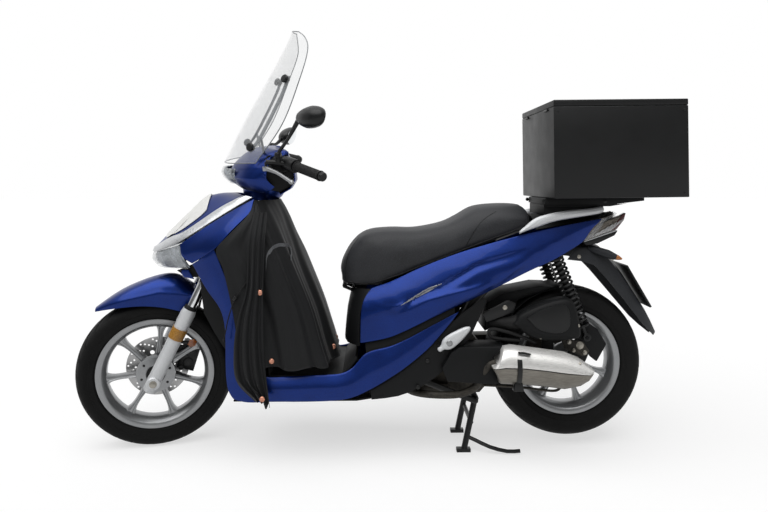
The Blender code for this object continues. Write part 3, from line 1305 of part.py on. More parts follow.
def make_stand():
    """Bent-tube centre stand on a cross pin, with a tread tang on its left leg."""
    pivot = np.array([STAND_X, 0.0, STAND_Z])
    half = SIDE * STAND_LEG_Y
    sleeve = rod(pivot - half, pivot + half, STAND_PIN_R + GAP + 0.005)
    adds = [sleeve]
    cross = np.array([(STAND_X * 2 + STAND_FOOT_X) / 3, 0.0, STAND_Z * 0.55])
    adds.append(rod(cross - SIDE * STAND_LEG_Y, cross + SIDE * STAND_LEG_Y, 0.008))
    for side in (-1, 1):
        y = side * STAND_LEG_Y
        foot = np.array([STAND_FOOT_X, y, 0.010])
        adds.append(rod((STAND_X, y, STAND_Z), foot, STAND_LEG_R))
        adds.append(block((STAND_FOOT_X - 0.028, y - 0.012, 0.0), (STAND_FOOT_X + 0.022, y + 0.012, 0.012)))
    tang = [(STAND_FOOT_X + 0.008, 0.0, 0.054), (1.160, -0.012, 0.044), (1.210, -0.030, 0.026)]
    tang += [(1.270, -0.031, 0.011), (1.316, -0.031, 0.012)]
    adds.append(tube([(x, y - STAND_LEG_Y, z) for x, y, z in tang], 0.007, 9, 8))
    pin = rod(pivot - SIDE * 0.3, pivot + SIDE * 0.3, bored(STAND_PIN_R))
    joined("centre_stand", adds, "black_plastic", "centre_stand", [pin])


PEG_DEPTH = 0.010
PEG_PAD = (
    # share of the peg's length from its pin, half width
    (-0.08, 0.008),
    (0.06, 0.0095),
    (0.18, 0.020),
    (0.35, 0.023),
    (0.65, 0.019),
    (1.0, 0.009),
)
PEG_WAY = np.array([0.094, 0.0, 0.068])
PEG_ACROSS = np.array([PEG_WAY[2], 0.0, -PEG_WAY[0]]) / np.linalg.norm(PEG_WAY)


def peg_bracket(side):
    """Two ears on the lower cover and the pin that a pillion peg folds on."""
    root = np.array([PEG_X, side * PEG_Y, PEG_Z])
    adds = [rod(root - PEG_ACROSS * 0.017, root + PEG_ACROSS * 0.017, PEG_PIN_R)]
    for step in (-0.0145, 0.0145):
        ear = root + PEG_ACROSS * step
        adds.append(rod(ear + SIDE * side * 0.004, ear - SIDE * side * 0.023, 0.0038, sides=8))
    return adds


def make_pegs():
    """Pillion pegs, folded up along the lower covers."""
    for side, word in ((-1, "left"), (1, "right")):
        root = np.array([PEG_X, side * PEG_Y, PEG_Z])
        loops = [round_loop(root + PEG_WAY * share, PEG_ACROSS, SIDE, wide, PEG_DEPTH, 12)
                 for share, wide in PEG_PAD]
        pin = rod(root - PEG_ACROSS * 0.04, root + PEG_ACROSS * 0.04, bored(PEG_PIN_R))
        joined("pillion_peg_" + word, [rings(loops)], "silver_paint", "peg_" + word, [pin])


def rail_path(side):
    y = side * RAIL_Y
    path = [(0.420, y, 0.252), (0.560, y, 0.250), (0.730, y, 0.252), (0.870, y, 0.292), (SWING_X, y, SWING_Z)]
    path += [(1.105, y, 0.500), (1.250, y, 0.645), (SHOCK_TOP_X - 0.090, y * 0.74, 0.706)]
    return path + [(SHOCK_TOP_X, y * 0.62, SHOCK_TOP_Z + 0.014), (WHEELBASE + 0.033, y * 0.55, 0.768)]


def make_frame():
    """Tube frame, with the bosses that carry the bodywork."""
    head = rod(stem_point(HEAD_LOW), stem_point(HEAD_HIGH), HEAD_R)
    bore = rod(stem_point(HEAD_LOW - 0.02), stem_point(HEAD_HIGH + 0.02), bored(STEM_R))
    spine = [stem_point(0.60), (0.398, 0.0, 0.640), (0.402, 0.0, 0.440), (0.420, 0.0, 0.252)]
    down = tube(spine, 0.018, 9, 8)
    adds = [down, head, rod((0.420, -RAIL_Y, 0.252), (0.420, RAIL_Y, 0.252), RAIL_R)]
    for side in (-1, 1):
        y = side * RAIL_Y
        adds.append(tube(rail_path(side), RAIL_R, 15, 8))
        pin_end = SHOCK_TOP + SIDE * side * (SHOCK_Y + EYE_HALF + 0.002)
        adds.append(rod(SHOCK_TOP + SIDE * y * 0.58, pin_end, SHOCK_PIN_R))
        adds.append(rod((0.880, y, 0.300), (STAND_X, side * STAND_PIN_HALF, STAND_Z), 0.011))
        word = "left" if side < 0 else "right"
        adds += boss("lower_cover_" + word, 0.34, 0.30, (0.960, y, 0.335))
        adds += boss("side_cover_" + word, 0.5, 0.43, (1.110, y, 0.505))
        adds += boss("floor_side_" + word, 0.54, 0.25, (0.600, y, 0.252), 0.004)
        adds += boss("tail_top", 0.4, 0.5 + side * 0.25, (1.500, y * 0.57, 0.757))
        adds += boss("rear_mudguard", 0.12, 0.5 + side * 0.06, rail_path(side)[-1], outside=True)
    adds += boss("front_cowl", 0.43, 0.5, stem_point(0.63))
    adds.append(rod((STAND_X, -STAND_PIN_HALF, STAND_Z), (STAND_X, STAND_PIN_HALF, STAND_Z), STAND_PIN_R))
    adds.append(rod((SWING_X, -RAIL_Y, SWING_Z), (SWING_X, RAIL_Y, SWING_Z), PIVOT_R))
    joined("frame", adds, "steel", "chassis", [bore])


def make_bodies():
    root = add_body("chassis", None, (0.0, 0.0, 0.0))
    steering = add_body("steering", "chassis", STEER_FOOT)
    steering.rotation_mode = "AXIS_ANGLE"
    steering.rotation_axis_angle = (STEER_REST, *AXIS)
    add_body("fork_lower", "steering", FRONT_AXLE)
    add_body("front_wheel", "fork_lower", FRONT_AXLE)
    add_body("throttle", "steering", bar_point(GRIP_FROM, 1))
    for side, word in ((-1, "left"), (1, "right")):
        add_body("lever_" + word, "steering", lever_point(0.0, side))
        add_body("mirror_" + word, "steering", mirror_foot(side))
        add_body("peg_" + word, "chassis", (PEG_X, side * PEG_Y, PEG_Z))
    add_body("horn_button", "steering", bar_point(0.05, -1))
    add_body("starter_button", "steering", bar_point(0.05, 1))
    add_body("swing_unit", "chassis", (SWING_X, 0.0, SWING_Z))
    add_body("rear_wheel", "swing_unit", REAR_AXLE)
    add_body("shock_upper", "chassis", SHOCK_TOP)
    add_body("shock_lower", "shock_upper", SHOCK_LOW)
    add_body("seat", "chassis", (SEAT_HINGE_X, 0.0, SEAT_HINGE_Z))
    add_body("box_lid", "chassis", tilted([(0.0, 0.0, BOX_HEIGHT - LID_HEIGHT)])[0])
    add_body("centre_stand", "chassis", (STAND_X, 0.0, STAND_Z))
    return root


def settle_origin(root):
    """Move the whole scooter so that its box stands on the origin."""
    view = bpy.context.evaluated_depsgraph_get()
    corners = []
    for thing in bpy.context.scene.objects:
        if thing.type in {"MESH", "CURVE"}:
            seen = thing.evaluated_get(view)
            shape = seen.to_mesh()
            corners += [np.array(seen.matrix_world @ v.co) for v in shape.vertices]
            seen.to_mesh_clear()
    low, high = np.min(corners, axis=0), np.max(corners, axis=0)
    root.location = (-(low[0] + high[0]) / 2, -(low[1] + high[1]) / 2, -low[2])


def main():
    clear_scene()
    root = make_bodies()
    make_fender()
    make_front_wheel()
    make_fork()
    make_caliper()
    make_handlebar_covers()
    make_handlebar()
    make_levers()
    make_buttons()
    make_screen()
    make_mirrors()
    make_front_cowl()
    make_leg_shield()
    make_floor()
    make_belly()
    make_side_covers()
    make_tail()
    make_rear_mudguard()
    make_grab_rail()
    make_load_box()
    make_seat()
    make_apron()
    make_rear_wheel()
    make_swing_unit()
    make_air_box()
    make_exhaust()
    make_shocks()
    make_stand()
    make_pegs()
    make_frame()
    settle_origin(root)


main()
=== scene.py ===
"""Looks of a moped scooter with a delivery box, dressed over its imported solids.

Points are written as the solids were drawn: metres, X back from the front axle, Y to the scooter's
right, Z up from the ground. Steered pieces are written with the handlebar straight.
"""

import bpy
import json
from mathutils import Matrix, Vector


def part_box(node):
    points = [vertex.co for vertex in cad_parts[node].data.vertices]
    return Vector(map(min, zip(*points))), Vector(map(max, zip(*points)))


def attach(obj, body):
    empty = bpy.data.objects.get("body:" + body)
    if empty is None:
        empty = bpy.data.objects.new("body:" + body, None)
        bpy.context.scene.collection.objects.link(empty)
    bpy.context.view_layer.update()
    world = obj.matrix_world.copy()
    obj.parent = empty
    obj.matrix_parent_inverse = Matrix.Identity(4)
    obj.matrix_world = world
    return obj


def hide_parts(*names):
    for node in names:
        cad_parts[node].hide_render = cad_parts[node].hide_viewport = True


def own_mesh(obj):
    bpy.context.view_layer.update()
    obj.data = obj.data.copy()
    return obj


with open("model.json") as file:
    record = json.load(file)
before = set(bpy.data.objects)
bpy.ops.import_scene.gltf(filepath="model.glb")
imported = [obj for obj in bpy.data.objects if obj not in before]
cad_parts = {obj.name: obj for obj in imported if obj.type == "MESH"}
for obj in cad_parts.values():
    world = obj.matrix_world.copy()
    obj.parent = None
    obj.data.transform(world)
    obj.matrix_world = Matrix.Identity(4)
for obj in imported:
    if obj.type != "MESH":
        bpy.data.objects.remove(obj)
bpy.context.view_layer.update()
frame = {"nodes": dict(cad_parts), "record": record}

import json
import math

import bmesh
import bpy
import numpy as np
from mathutils import Matrix, Vector
from mathutils.bvhtree import BVHTree

bl_info = {
    "name": "Moped scooter looks",
    "version": (1, 0, 0),
    "blender": (4, 5, 0),
    "location": "3D View > Sidebar > Scooter",
    "description": "Dresses the scooter's solids with finished pieces and materials",
    "category": "Object",
}

CASTER = math.radians(26.5)
STEER_REST = math.radians(14.0)
AXIS = np.array([math.sin(CASTER), 0.0, math.cos(CASTER)])
FRONT_AXLE = np.array([0.0, 0.0, 0.27392])
REAR_AXLE = np.array([1.507, 0.0, 0.307])
OFF_AXIS = np.array([math.cos(CASTER), 0.0, -math.sin(CASTER)])
STEER_FOOT = FRONT_AXLE + 0.040 * OFF_AXIS
SIDE = np.array([0.0, 1.0, 0.0])
UP = np.array([0.0, 0.0, 1.0])
BOX_PITCH = math.radians(0.7)
SIDES = ((-1, "left"), (1, "right"))
FORK_HALF = 0.105
SHOCK_HALF = 0.113
SPOKES = 7
TREAD_PITCHES = 28

# Wheels: end, tyre, axle and whether it is steered. A tyre is its outer radius, its half width, its bead
# seat's radius and half the seat's width.
WHEELS = (("front", (0.2745, 0.056, 0.1905, 0.036), FRONT_AXLE, True),
          ("rear", (0.276, 0.066, 0.178, 0.045), REAR_AXLE, False))

# The view: picture size and focal length in pixels, the eye's row, its place and its turn to the right.
PICTURE_WIDE = 768
PICTURE_TALL = 512
FOCAL_PIXELS = 650
EYE_ROW = 179.6
EYE = (0.79, -2.414, 0.973)
EYE_TURN = math.radians(-1.1)
SENSOR_MM = 36.0

# Light: what the floor adds to its own shade, and the room's level on the pieces.
FLOOR_LIFT = 0.62
ROOM_LEVEL = 0.16

# Size of the slow clouds of handling in every material.
CLOUD_MM = 70

# Frames of the cloth run that swells the seat.
SWELL_FRAMES = 20

low_rim, high_rim = (np.array(corner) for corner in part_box("rear_rim"))
ROOT = (low_rim + high_rim) / 2 - REAR_AXLE
ROOT[2] = 0.0
STRAIGHT = Matrix.Translation(ROOT)
TURN = Matrix.Translation(STEER_FOOT) @ Matrix.Rotation(STEER_REST, 4, Vector(AXIS))
STEERED = STRAIGHT @ TURN @ Matrix.Translation(-STEER_FOOT)

finishes = {}
dressed = {}


def linear(code):
    """An sRGB hex colour as linear light."""
    parts = [int(code[k:k + 2], 16) / 255 for k in (0, 2, 4)]
    return tuple(p / 12.92 if p <= 0.04045 else ((p + 0.055) / 1.055) ** 2.4 for p in parts)


def add_node(tree, kind, settings=None, values=None, links=None):
    """Add a node with its settings, its input values and its links."""
    made = tree.nodes.new(kind)
    for name, value in (settings or {}).items():
        setattr(made, name, value)
    for name, value in (values or {}).items():
        made.inputs[name].default_value = value
    for name, output in (links or {}).items():
        tree.links.new(output, made.inputs[name])
    return made


def surface(name, pale, dark, grain_mm, relief_mm=0.0, rough=(0.4, 0.5), slot=None, cloud=0.35,
            pattern="ShaderNodeTexNoise", stretch=(1, 1, 1), metallic=0.0, specular=0.5, values=None):
    """A material whose colour, roughness and relief follow one grain and slow clouds of handling."""
    made = bpy.data.materials.new(name)
    made.use_nodes = True
    tree = made.node_tree
    shader = tree.nodes["Principled BSDF"]
    place = add_node(tree, "ShaderNodeTexCoord")
    fit = add_node(tree, "ShaderNodeMapping", values={"Scale": stretch},
                   links={"Vector": place.outputs["Object"]})
    grain = add_node(tree, pattern, values={"Scale": 1000 / grain_mm}, links={"Vector": fit.outputs[0]})
    clouds = add_node(tree, "ShaderNodeTexNoise", values={"Scale": 1000 / CLOUD_MM},
                      links={"Vector": place.outputs["Object"]})
    mixed = add_node(tree, "ShaderNodeMix", values={"Factor": cloud},
                     links={2: grain.outputs[0], 3: clouds.outputs[0]})
    ramp = add_node(tree, "ShaderNodeValToRGB", links={"Fac": mixed.outputs[0]})
    for stop, at, colour in zip(ramp.color_ramp.elements, (0.3, 0.7), (dark, pale)):
        stop.position = at
        stop.color = (*linear(colour), 1.0)
    spread = add_node(tree, "ShaderNodeMapRange",
                      values={"From Min": 0.3, "From Max": 0.7, "To Min": rough[0], "To Max": rough[1]},
                      links={"Value": mixed.outputs[0]})
    tree.links.new(ramp.outputs["Color"], shader.inputs["Base Color"])
    tree.links.new(spread.outputs[0], shader.inputs["Roughness"])
    if relief_mm:
        bump = add_node(tree, "ShaderNodeBump", values={"Strength": 0.6, "Distance": relief_mm / 1000},
                        links={"Height": grain.outputs[0]})
        tree.links.new(bump.outputs[0], shader.inputs["Normal"])
    sockets = {"Metallic": metallic, "Specular IOR Level": specular, **(values or {})}
    for socket, value in sockets.items():
        shader.inputs[socket].default_value = value
    finishes[name] = (made, slot)


def smooth(points, count):
    """A Catmull-Rom curve through the points, read at even steps."""
    points = np.array(points, float)
    if len(points) == 2:
        return points[0] + (points[1] - points[0]) * np.linspace(0, 1, count)[:, None]
    ends = np.vstack([2 * points[0] - points[1], points, 2 * points[-1] - points[-2]])
    read = []
    for along in np.linspace(0, len(points) - 1, count):
        k = min(int(along), len(points) - 2)
        t = along - k
        a, b, c, d = ends[k:k + 4]
        read.append((2 * b + (c - a) * t + (2 * a - 5 * b + 4 * c - d) * t * t
                     + (3 * b - a - 3 * c + d) * t ** 3) / 2)
    return np.array(read)


def skin(rows, along, across):
    """A grid of points on the smooth surface through the rows."""
    lines = np.array([smooth(row, across) for row in rows])
    return np.array([smooth(lines[:, k], along) for k in range(across)]).swapaxes(0, 1)


def both_ways(row):
    """A row from the left edge to the middle, carried on to the right edge."""
    return list(row) + [(x, -y, z) for x, y, z in list(row)[-2::-1]]


def off_grid(grid, inside):
    """Unit normals of a grid, away from the inside point."""
    normals = np.cross(np.gradient(grid, axis=0), np.gradient(grid, axis=1))
    normals /= np.linalg.norm(normals, axis=2, keepdims=True) + 1e-12
    return normals if np.sum(normals * (grid - np.array(inside))) > 0 else -normals


def rim_of(grid):
    """The values round a grid's edge, in order."""
    return np.vstack([grid[:, 0], grid[-1, 1:], grid[-2::-1, -1], grid[0, -2::-1]])


def shell(grid, wall, inside):
    """A closed sheet: the grid and its copy one wall further in, with their rims."""
    u, v = grid.shape[:2]
    half = u * v
    points = np.vstack([grid.reshape(-1, 3), (grid - off_grid(grid, inside) * wall).reshape(-1, 3)])
    faces = []
    for i in range(u - 1):
        for j in range(v - 1):
            a = i * v + j
            faces.append((a, a + 1, a + v + 1, a + v))
            faces.append((a + half, a + v + half, a + v + 1 + half, a + 1 + half))
    rim = list(range(v)) + [i * v + v - 1 for i in range(1, u)]
    rim += [(u - 1) * v + j for j in range(v - 2, -1, -1)] + [i * v for i in range(u - 2, 0, -1)]
    faces += [(b, a, a + half, b + half) for a, b in zip(rim, rim[1:] + rim[:1])]
    return points, faces


def loft(loops, closed=False):
    """A skin through loops of points, with flat ends unless the loops close on themselves."""
    n = len(loops[0])
    points = [p for loop in loops for p in loop]
    count = len(loops)
    faces = [] if closed else [tuple(range(n)), tuple(range(len(points) - 1, len(points) - n - 1, -1))]
    for k in range(count if closed else count - 1):
        for i in range(n):
            a, b = k * n + i, k * n + (i + 1) % n
            step = ((k + 1) % count - k) * n
            faces.append((a, b, b + step, a + step))
    return points, faces


def square_to(way):
    """Two unit directions square to the given one."""
    way = np.array(way, float) / np.linalg.norm(way)
    first = np.cross(way, SIDE)
    if np.linalg.norm(first) < 0.2:
        first = np.cross(way, UP)
    first /= np.linalg.norm(first)
    return first, np.cross(way, first)


def loop_round(centre, first, second, wide, tall, sides):
    """An oval of points about a centre."""
    angles = 2 * math.pi * np.arange(sides) / sides
    return [centre + first * wide * math.cos(a) + second * tall * math.sin(a) for a in angles]


def turned(profile, centre, way, sides=64, ring=False):
    """A profile of (radius, along) turned about a line; as a ring, its two ends are joined."""
    way = np.array(way, float) / np.linalg.norm(way)
    first, second = square_to(way)
    loops = [loop_round(np.array(centre) + way * along, first, second, r, r, sides) for r, along in profile]
    return loft(loops, closed=ring)


def tube(points, radius, count, sides=12):
    """A bar along a smooth path; radius is one value or several along it."""
    path = smooth(points, count)
    sizes = np.interp(np.linspace(0, 1, count), np.linspace(0, 1, np.size(radius)), np.atleast_1d(radius))
    first = square_to(path[1] - path[0])[0]
    loops = []
    for centre, way, size in zip(path, np.gradient(path, axis=0), sizes):
        way = way / np.linalg.norm(way)
        first = first - way * (first @ way)
        first /= np.linalg.norm(first)
        loops.append(loop_round(centre, first, np.cross(way, first), size, size, sides))
    return loft(loops)


def prism(outline, y_from, y_to):
    """An outline of (x, z) pushed through along Y."""
    return loft([[np.array([x, y, z]) for x, z in outline] for y in (y_from, y_to)])


def together(shapes):
    """Several shapes as one."""
    points, faces = [], []
    for some_points, some_faces in shapes:
        start = len(points)
        points += [tuple(map(float, p)) for p in some_points]
        faces += [tuple(k + start for k in face) for face in some_faces]
    return points, faces


def on_side(shape, side):
    """A shape drawn for the left, or its mirror image for the right."""
    points, faces = shape
    if side < 0:
        return shape
    return [(p[0], -p[1], p[2]) for p in points], [tuple(reversed(face)) for face in faces]


def clean(mesh, merge, crease_angle=None):
    """Merge doubled points, turn the faces out and, where asked, mark sharp edges to stay sharp."""
    made = bmesh.new()
    made.from_mesh(mesh)
    bmesh.ops.remove_doubles(made, verts=made.verts, dist=merge)
    if crease_angle:
        bmesh.ops.join_triangles(made, faces=made.faces, angle_face_threshold=0.5,
                                 angle_shape_threshold=1.2)
        layer = made.edges.layers.float.get("crease_edge") or made.edges.layers.float.new("crease_edge")
        for edge in made.edges:
            if len(edge.link_faces) != 2 or edge.calc_face_angle(0.0) > crease_angle:
                edge[layer] = 1.0
    bmesh.ops.recalc_face_normals(made, faces=made.faces)
    made.to_mesh(mesh)
    made.free()


def applied(thing):
    """Bake a piece's modifiers into its mesh."""
    seen = thing.evaluated_get(bpy.context.evaluated_depsgraph_get())
    mesh = bpy.data.meshes.new_from_object(seen)
    thing.modifiers.clear()
    old = thing.data
    thing.data = mesh
    bpy.data.meshes.remove(old)
    return thing


def finished(thing, finish, body, stands_for=(), angle=38):
    """Give a piece its material, its shading and its body."""
    material, slot = finishes[finish]
    thing.data.materials.clear()
    thing.data.materials.append(material)
    if thing.type == "MESH":
        thing.data.shade_smooth()
        thing.data.set_sharp_from_angle(angle=math.radians(angle))
    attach(thing, body)
    if stands_for:
        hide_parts(*stands_for)
    return thing


def linked(name, data):
    """A new object in the scene."""
    thing = bpy.data.objects.new(name, data)
    bpy.context.scene.collection.objects.link(thing)
    return thing


def eased(thing, width, degrees):
    """Round over the edges that turn by more than an angle."""
    step = thing.modifiers.new("edge", "BEVEL")
    step.width = width
    step.segments = 2
    step.limit_method = "ANGLE"
    step.angle_limit = math.radians(degrees)
    applied(thing)


def put(name, shape, finish, body, steered=False, bevel=0.0, stands_for=(), angle=38):
    """A new piece from a shape, set in its place."""
    points, faces = shape
    mesh = bpy.data.meshes.new(name)
    mesh.from_pydata([tuple(map(float, p)) for p in points], [], faces)
    clean(mesh, 1e-6)
    mesh.transform(STEERED if steered else STRAIGHT)
    thing = linked(name, mesh)
    if bevel:
        eased(thing, bevel, 30)
    return finished(thing, finish, body, stands_for, angle)


def body_of(node):
    """The body that carries a node."""
    for body, members in frame["record"]["behaviour"]["bodies"].items():
        if node in members:
            return body
    raise ValueError("no body holds " + node)


def hold_corners(thing):
    """Move a rounded piece's cage so that its smooth skin still passes through the solid's own points."""
    wanted = np.array([v.co for v in thing.data.vertices])
    cage = wanted.copy()
    for _ in range(3):
        seen = thing.evaluated_get(bpy.context.evaluated_depsgraph_get())
        read = seen.to_mesh()
        reached = np.array([v.co for v in read.vertices][:len(wanted)])
        seen.to_mesh_clear()
        cage += wanted - reached
        thing.data.vertices.foreach_set("co", cage.ravel())
        thing.data.update()


def refined(node, finish, levels=2, bevel=0.0008, angle=32, form=None):
    """A fuller copy of a solid: rounded where it is smooth, with its edges eased."""
    mesh = frame["nodes"][node].data.copy()
    mesh.name = node + "_skin"
    clean(mesh, 2e-5, math.radians(angle))
    thing = linked(node + "_skin", mesh)
    if levels:
        step = thing.modifiers.new("round", "SUBSURF")
        step.levels = levels
        step.render_levels = levels
        hold_corners(thing)
        applied(thing)
    if form:
        form(thing.data)
    if bevel:
        eased(thing, bevel, 40)
    dressed[node] = thing
    return finished(thing, finish, body_of(node), [node])


def laid_on(node, points, way, lift):
    """Points carried along a way onto a dressed piece, or else to its nearest spot, and lifted off it."""
    tree = BVHTree.FromObject(dressed[node], bpy.context.evaluated_depsgraph_get())
    read = []
    for point in points:
        start = Vector(point) + Vector(ROOT)
        spot = tree.ray_cast(start, Vector(way))[0]
        if spot is None:
            spot = tree.find_nearest(start)[0]
        read.append(np.array(spot) - ROOT - np.array(way) * lift)
    return np.array(read)


def pressed_on(node, line, side, lift):
    """Points of (x, z) carried in from one side onto a dressed piece."""
    return laid_on(node, [(x, side * 0.5, z) for x, z in line], (0.0, -side, 0.0), lift)


def stud(centre, way, radius, height):
    """A domed round head standing on a surface."""
    profile = [(radius, -0.002), (radius, height * 0.55), (radius * 0.86, height * 0.85),
               (radius * 0.5, height), (1e-5, height)]
    return turned([(1e-5, -0.002)] + profile, centre, way, 20)


def hex_bolt(centre, way, radius, height):
    """A flanged hexagon bolt head."""
    flange = turned([(1e-5, 0), (radius * 1.35, 0), (radius * 1.35, height * 0.2),
                     (radius * 1.1, height * 0.35), (1e-5, height * 0.35)], centre, way, 24)
    head = turned([(1e-5, 0), (radius, 0), (radius, height * 0.9), (radius * 0.85, height),
                   (1e-5, height)], centre, way, 6)
    return together([flange, head])


class ScooterColours(bpy.types.PropertyGroup):
    """Colours a user would change."""
    paint_pale: bpy.props.StringProperty(name="Paint in light", description="Body paint, sRGB hex",
                                         default="15327C")
    paint_dark: bpy.props.StringProperty(name="Paint in shade", description="Body paint flake, sRGB hex",
                                         default="0E2158")
    silver: bpy.props.StringProperty(name="Wheel silver", description="Wheel and lever paint, sRGB hex",
                                     default="9C9D9E")


class ScooterSizes(bpy.types.PropertyGroup):
    """Sizes a user would change."""
    groove: bpy.props.FloatProperty(name="Tread groove", description="Depth of the tyre grooves",
                                    default=0.004, subtype="DISTANCE", unit="LENGTH")
    fold: bpy.props.FloatProperty(name="Apron fold", description="Depth of the apron's folds",
                                  default=0.018, subtype="DISTANCE", unit="LENGTH")
    swell: bpy.props.FloatProperty(name="Seat swell", description="Most that the seat foam swells",
                                   default=0.006, subtype="DISTANCE", unit="LENGTH")


class SCOOTER_OT_finishes(bpy.types.Operator):
    """Make every material"""
    bl_idname = "scooter.finishes"
    bl_label = "Finishes"

    def execute(self, context):
        colours = context.scene.scooter_colours
        # Clear-coated metallic paint, sprayed: deep blue with fine flake under a glossy skin.
        # Real flake is 0.1 mm; it is drawn at 1.4 mm so that it shows.
        surface("clear_coated_paint", colours.paint_pale, colours.paint_dark, 1.4, 0.02, (0.30, 0.42),
                "blue_paint", 0.2, metallic=0.85, specular=0.2,
                values={"Coat Weight": 0.2, "Coat Roughness": 0.06, "Coat IOR": 1.5})
        # Polypropylene, moulded with a fine spark texture: dull charcoal black. Texture drawn at 1.2 mm.
        surface("moulded_polypropylene", "111213", "0A0B0C", 1.2, 0.06, (0.50, 0.64), "black_plastic",
                specular=0.2)
        # The same plastic after years in the sun: greyer, with pale scuffs.
        surface("sun_faded_polypropylene", "2E3034", "1D1F22", 4.0, 0.06, (0.44, 0.58), "black_plastic",
                0.5, specular=0.32)
        # ABS, moulded smooth: darker and glossier than the textured covers.
        surface("moulded_abs", "0F1011", "08090A", 2.0, 0.02, (0.34, 0.46), "black_plastic", specular=0.32)
        # Painted plywood and glass-fibre box panels, rolled: satin black with a faint orange peel of 3 mm.
        surface("rolled_box_paint", "0E0F10", "090A0B", 3.0, 0.05, (0.40, 0.52), "black_plastic", 0.6,
                specular=0.32)
        # Vulcanised tyre rubber, moulded and a little dusty. Dust patches are about 6 mm.
        surface("tyre_rubber", "0E0E0E", "080808", 6.0, 0.05, (0.62, 0.80), "black_rubber", specular=0.2)
        # Grip and button rubber, moulded matt: deep black without gloss.
        surface("grip_rubber", "0F0F0F", "080808", 1.5, 0.05, (0.60, 0.75), "black_rubber", specular=0.35)
        # Nylon cloth, plain woven and coated. Threads are 0.4 mm apart and are drawn at 1.6 mm.
        surface("coated_nylon_cloth", "101113", "070809", 1.6, 0.10, (0.55, 0.72), "black_cloth", 0.45,
                "ShaderNodeTexMagic", specular=0.30,
                values={"Sheen Weight": 0.12, "Sheen Roughness": 0.4})
        # Seat vinyl on foam, embossed with leather cells of about 2.2 mm.
        surface("embossed_seat_vinyl", "343538", "1E1F22", 2.2, 0.12, (0.46, 0.62), "seat_vinyl", 0.4,
                "ShaderNodeTexVoronoi", specular=0.32)
        # Die-cast aluminium, silver painted and lacquered: fine sparkle, soft gloss.
        surface("silver_wheel_paint", colours.silver, "808284", 1.6, 0.02, (0.30, 0.40), "silver_paint",
                0.3, metallic=0.80, values={"Coat Weight": 0.35, "Coat Roughness": 0.12})
        # Steel tube and fork castings, powder coated pale silver: brighter and duller than the wheels.
        surface("silver_powder_coat", "E6E8EA", "CFD1D3", 1.6, 0.02, (0.34, 0.44), "silver_paint", 0.3,
                metallic=0.2)
        # Stainless steel sheet, rolled and brushed lengthwise, lines drawn 1.5 mm apart.
        # It covers only the can's upper half and is painted pale there as the lit side.
        surface("brushed_stainless", "EFEEEB", "D2D1CE", 1.5, 0.01, (0.26, 0.36), "silver_paint", 0.2,
                stretch=(0.06, 1, 1), metallic=0.35)
        # The same steel on the can's underside, painted darker as the shade on the half that faces down.
        surface("stainless_painted_shade", "8C8880", "625E57", 1.5, 0.01, (0.34, 0.46), "silver_paint", 0.3,
                stretch=(0.06, 1, 1), metallic=0.6)
        # Hard chrome on ground steel tube: a bright mirror with a faint blue cast.
        surface("hard_chrome", "E2E3E4", "C8CACC", 8.0, 0.0, (0.06, 0.12), "steel", metallic=1.0)
        # Disc steel, ground: bright grey with a fine grain of wear.
        surface("ground_disc_steel", "B4B4B4", "8E8E8E", 2.0, 0.02, (0.28, 0.40), "steel", metallic=1.0)
        # Cast iron and aluminium left raw: grey-brown road film in the hollows, 9 mm patches.
        surface("raw_casting", "4A463F", "1C1A18", 9.0, 0.25, (0.50, 0.72), "cast_metal", 0.4,
                metallic=0.55)
        # Black wrinkle enamel on steel tube: a soft broken gloss, wrinkles of 2.5 mm.
        surface("black_enamel", "0F1011", "08090A", 2.5, 0.04, (0.32, 0.48), "steel", specular=0.35)
        # Zinc-plated steel fasteners: a dull grey-yellow glint.
        surface("plated_steel", "A9A59C", "86827A", 2.0, 0.0, (0.30, 0.42), "steel", metallic=0.9)
        # Satin-chromed ABS trim: pale silver with a faint cloud.
        surface("satin_chrome_trim", "D2D4D6", "B6B8BA", 6.0, 0.0, (0.26, 0.34), "bright_trim",
                metallic=0.65)
        # Vacuum-metallised reflector behind a lens: bright, with painted dark reflections in patches of 14
        # mm.
        surface("metallised_reflector", "B4BAC0", "30343A", 14.0, 0.10, (0.10, 0.22), None, metallic=1.0)
        # Inner housing of the tail lamp, moulded: grey-brown and glossy, in cells of 5 mm.
        surface("ribbed_housing", "8A8278", "5A544C", 5.0, 0.15, (0.25, 0.40), None, 0.15,
                "ShaderNodeTexVoronoi", metallic=0.3)
        # Polycarbonate lens, moulded: clear with a hard edge gloss. IOR 1.585.
        surface("clear_polycarbonate", "E9EDF0", "DDE2E6", 20.0, 0.0, (0.03, 0.07), "clear_lens",
                values={"Alpha": 0.22, "IOR": 1.585, "Coat Weight": 0.6, "Coat Roughness": 0.03})
        # Acrylic screen, bent: clear with a haze of fine wear and drops about 5 mm across. IOR 1.49.
        surface("bent_acrylic", "F2F4F5", "C9CDD0", 5.0, 0.15, (0.05, 0.22), "clear_lens", 0.3,
                values={"Alpha": 0.13, "IOR": 1.49, "Coat Weight": 0.5, "Coat Roughness": 0.04})
        # Acrylic seen through its cut edge: mid grey.
        surface("smoked_edge", "8E9296", "6A6E72", 6.0, 0.0, (0.12, 0.2), None)
        # Dyed acrylic lenses, moulded: deep colour under a hard gloss, broken by a grain of 3 mm.
        surface("red_acrylic", "6E1018", "3E0810", 3.0, 0.10, (0.08, 0.16), "red_lens",
                values={"IOR": 1.49, "Coat Weight": 0.8})
        surface("amber_acrylic", "E08A1C", "A85A0C", 3.0, 0.10, (0.10, 0.20), None,
                values={"IOR": 1.49, "Coat Weight": 0.6})
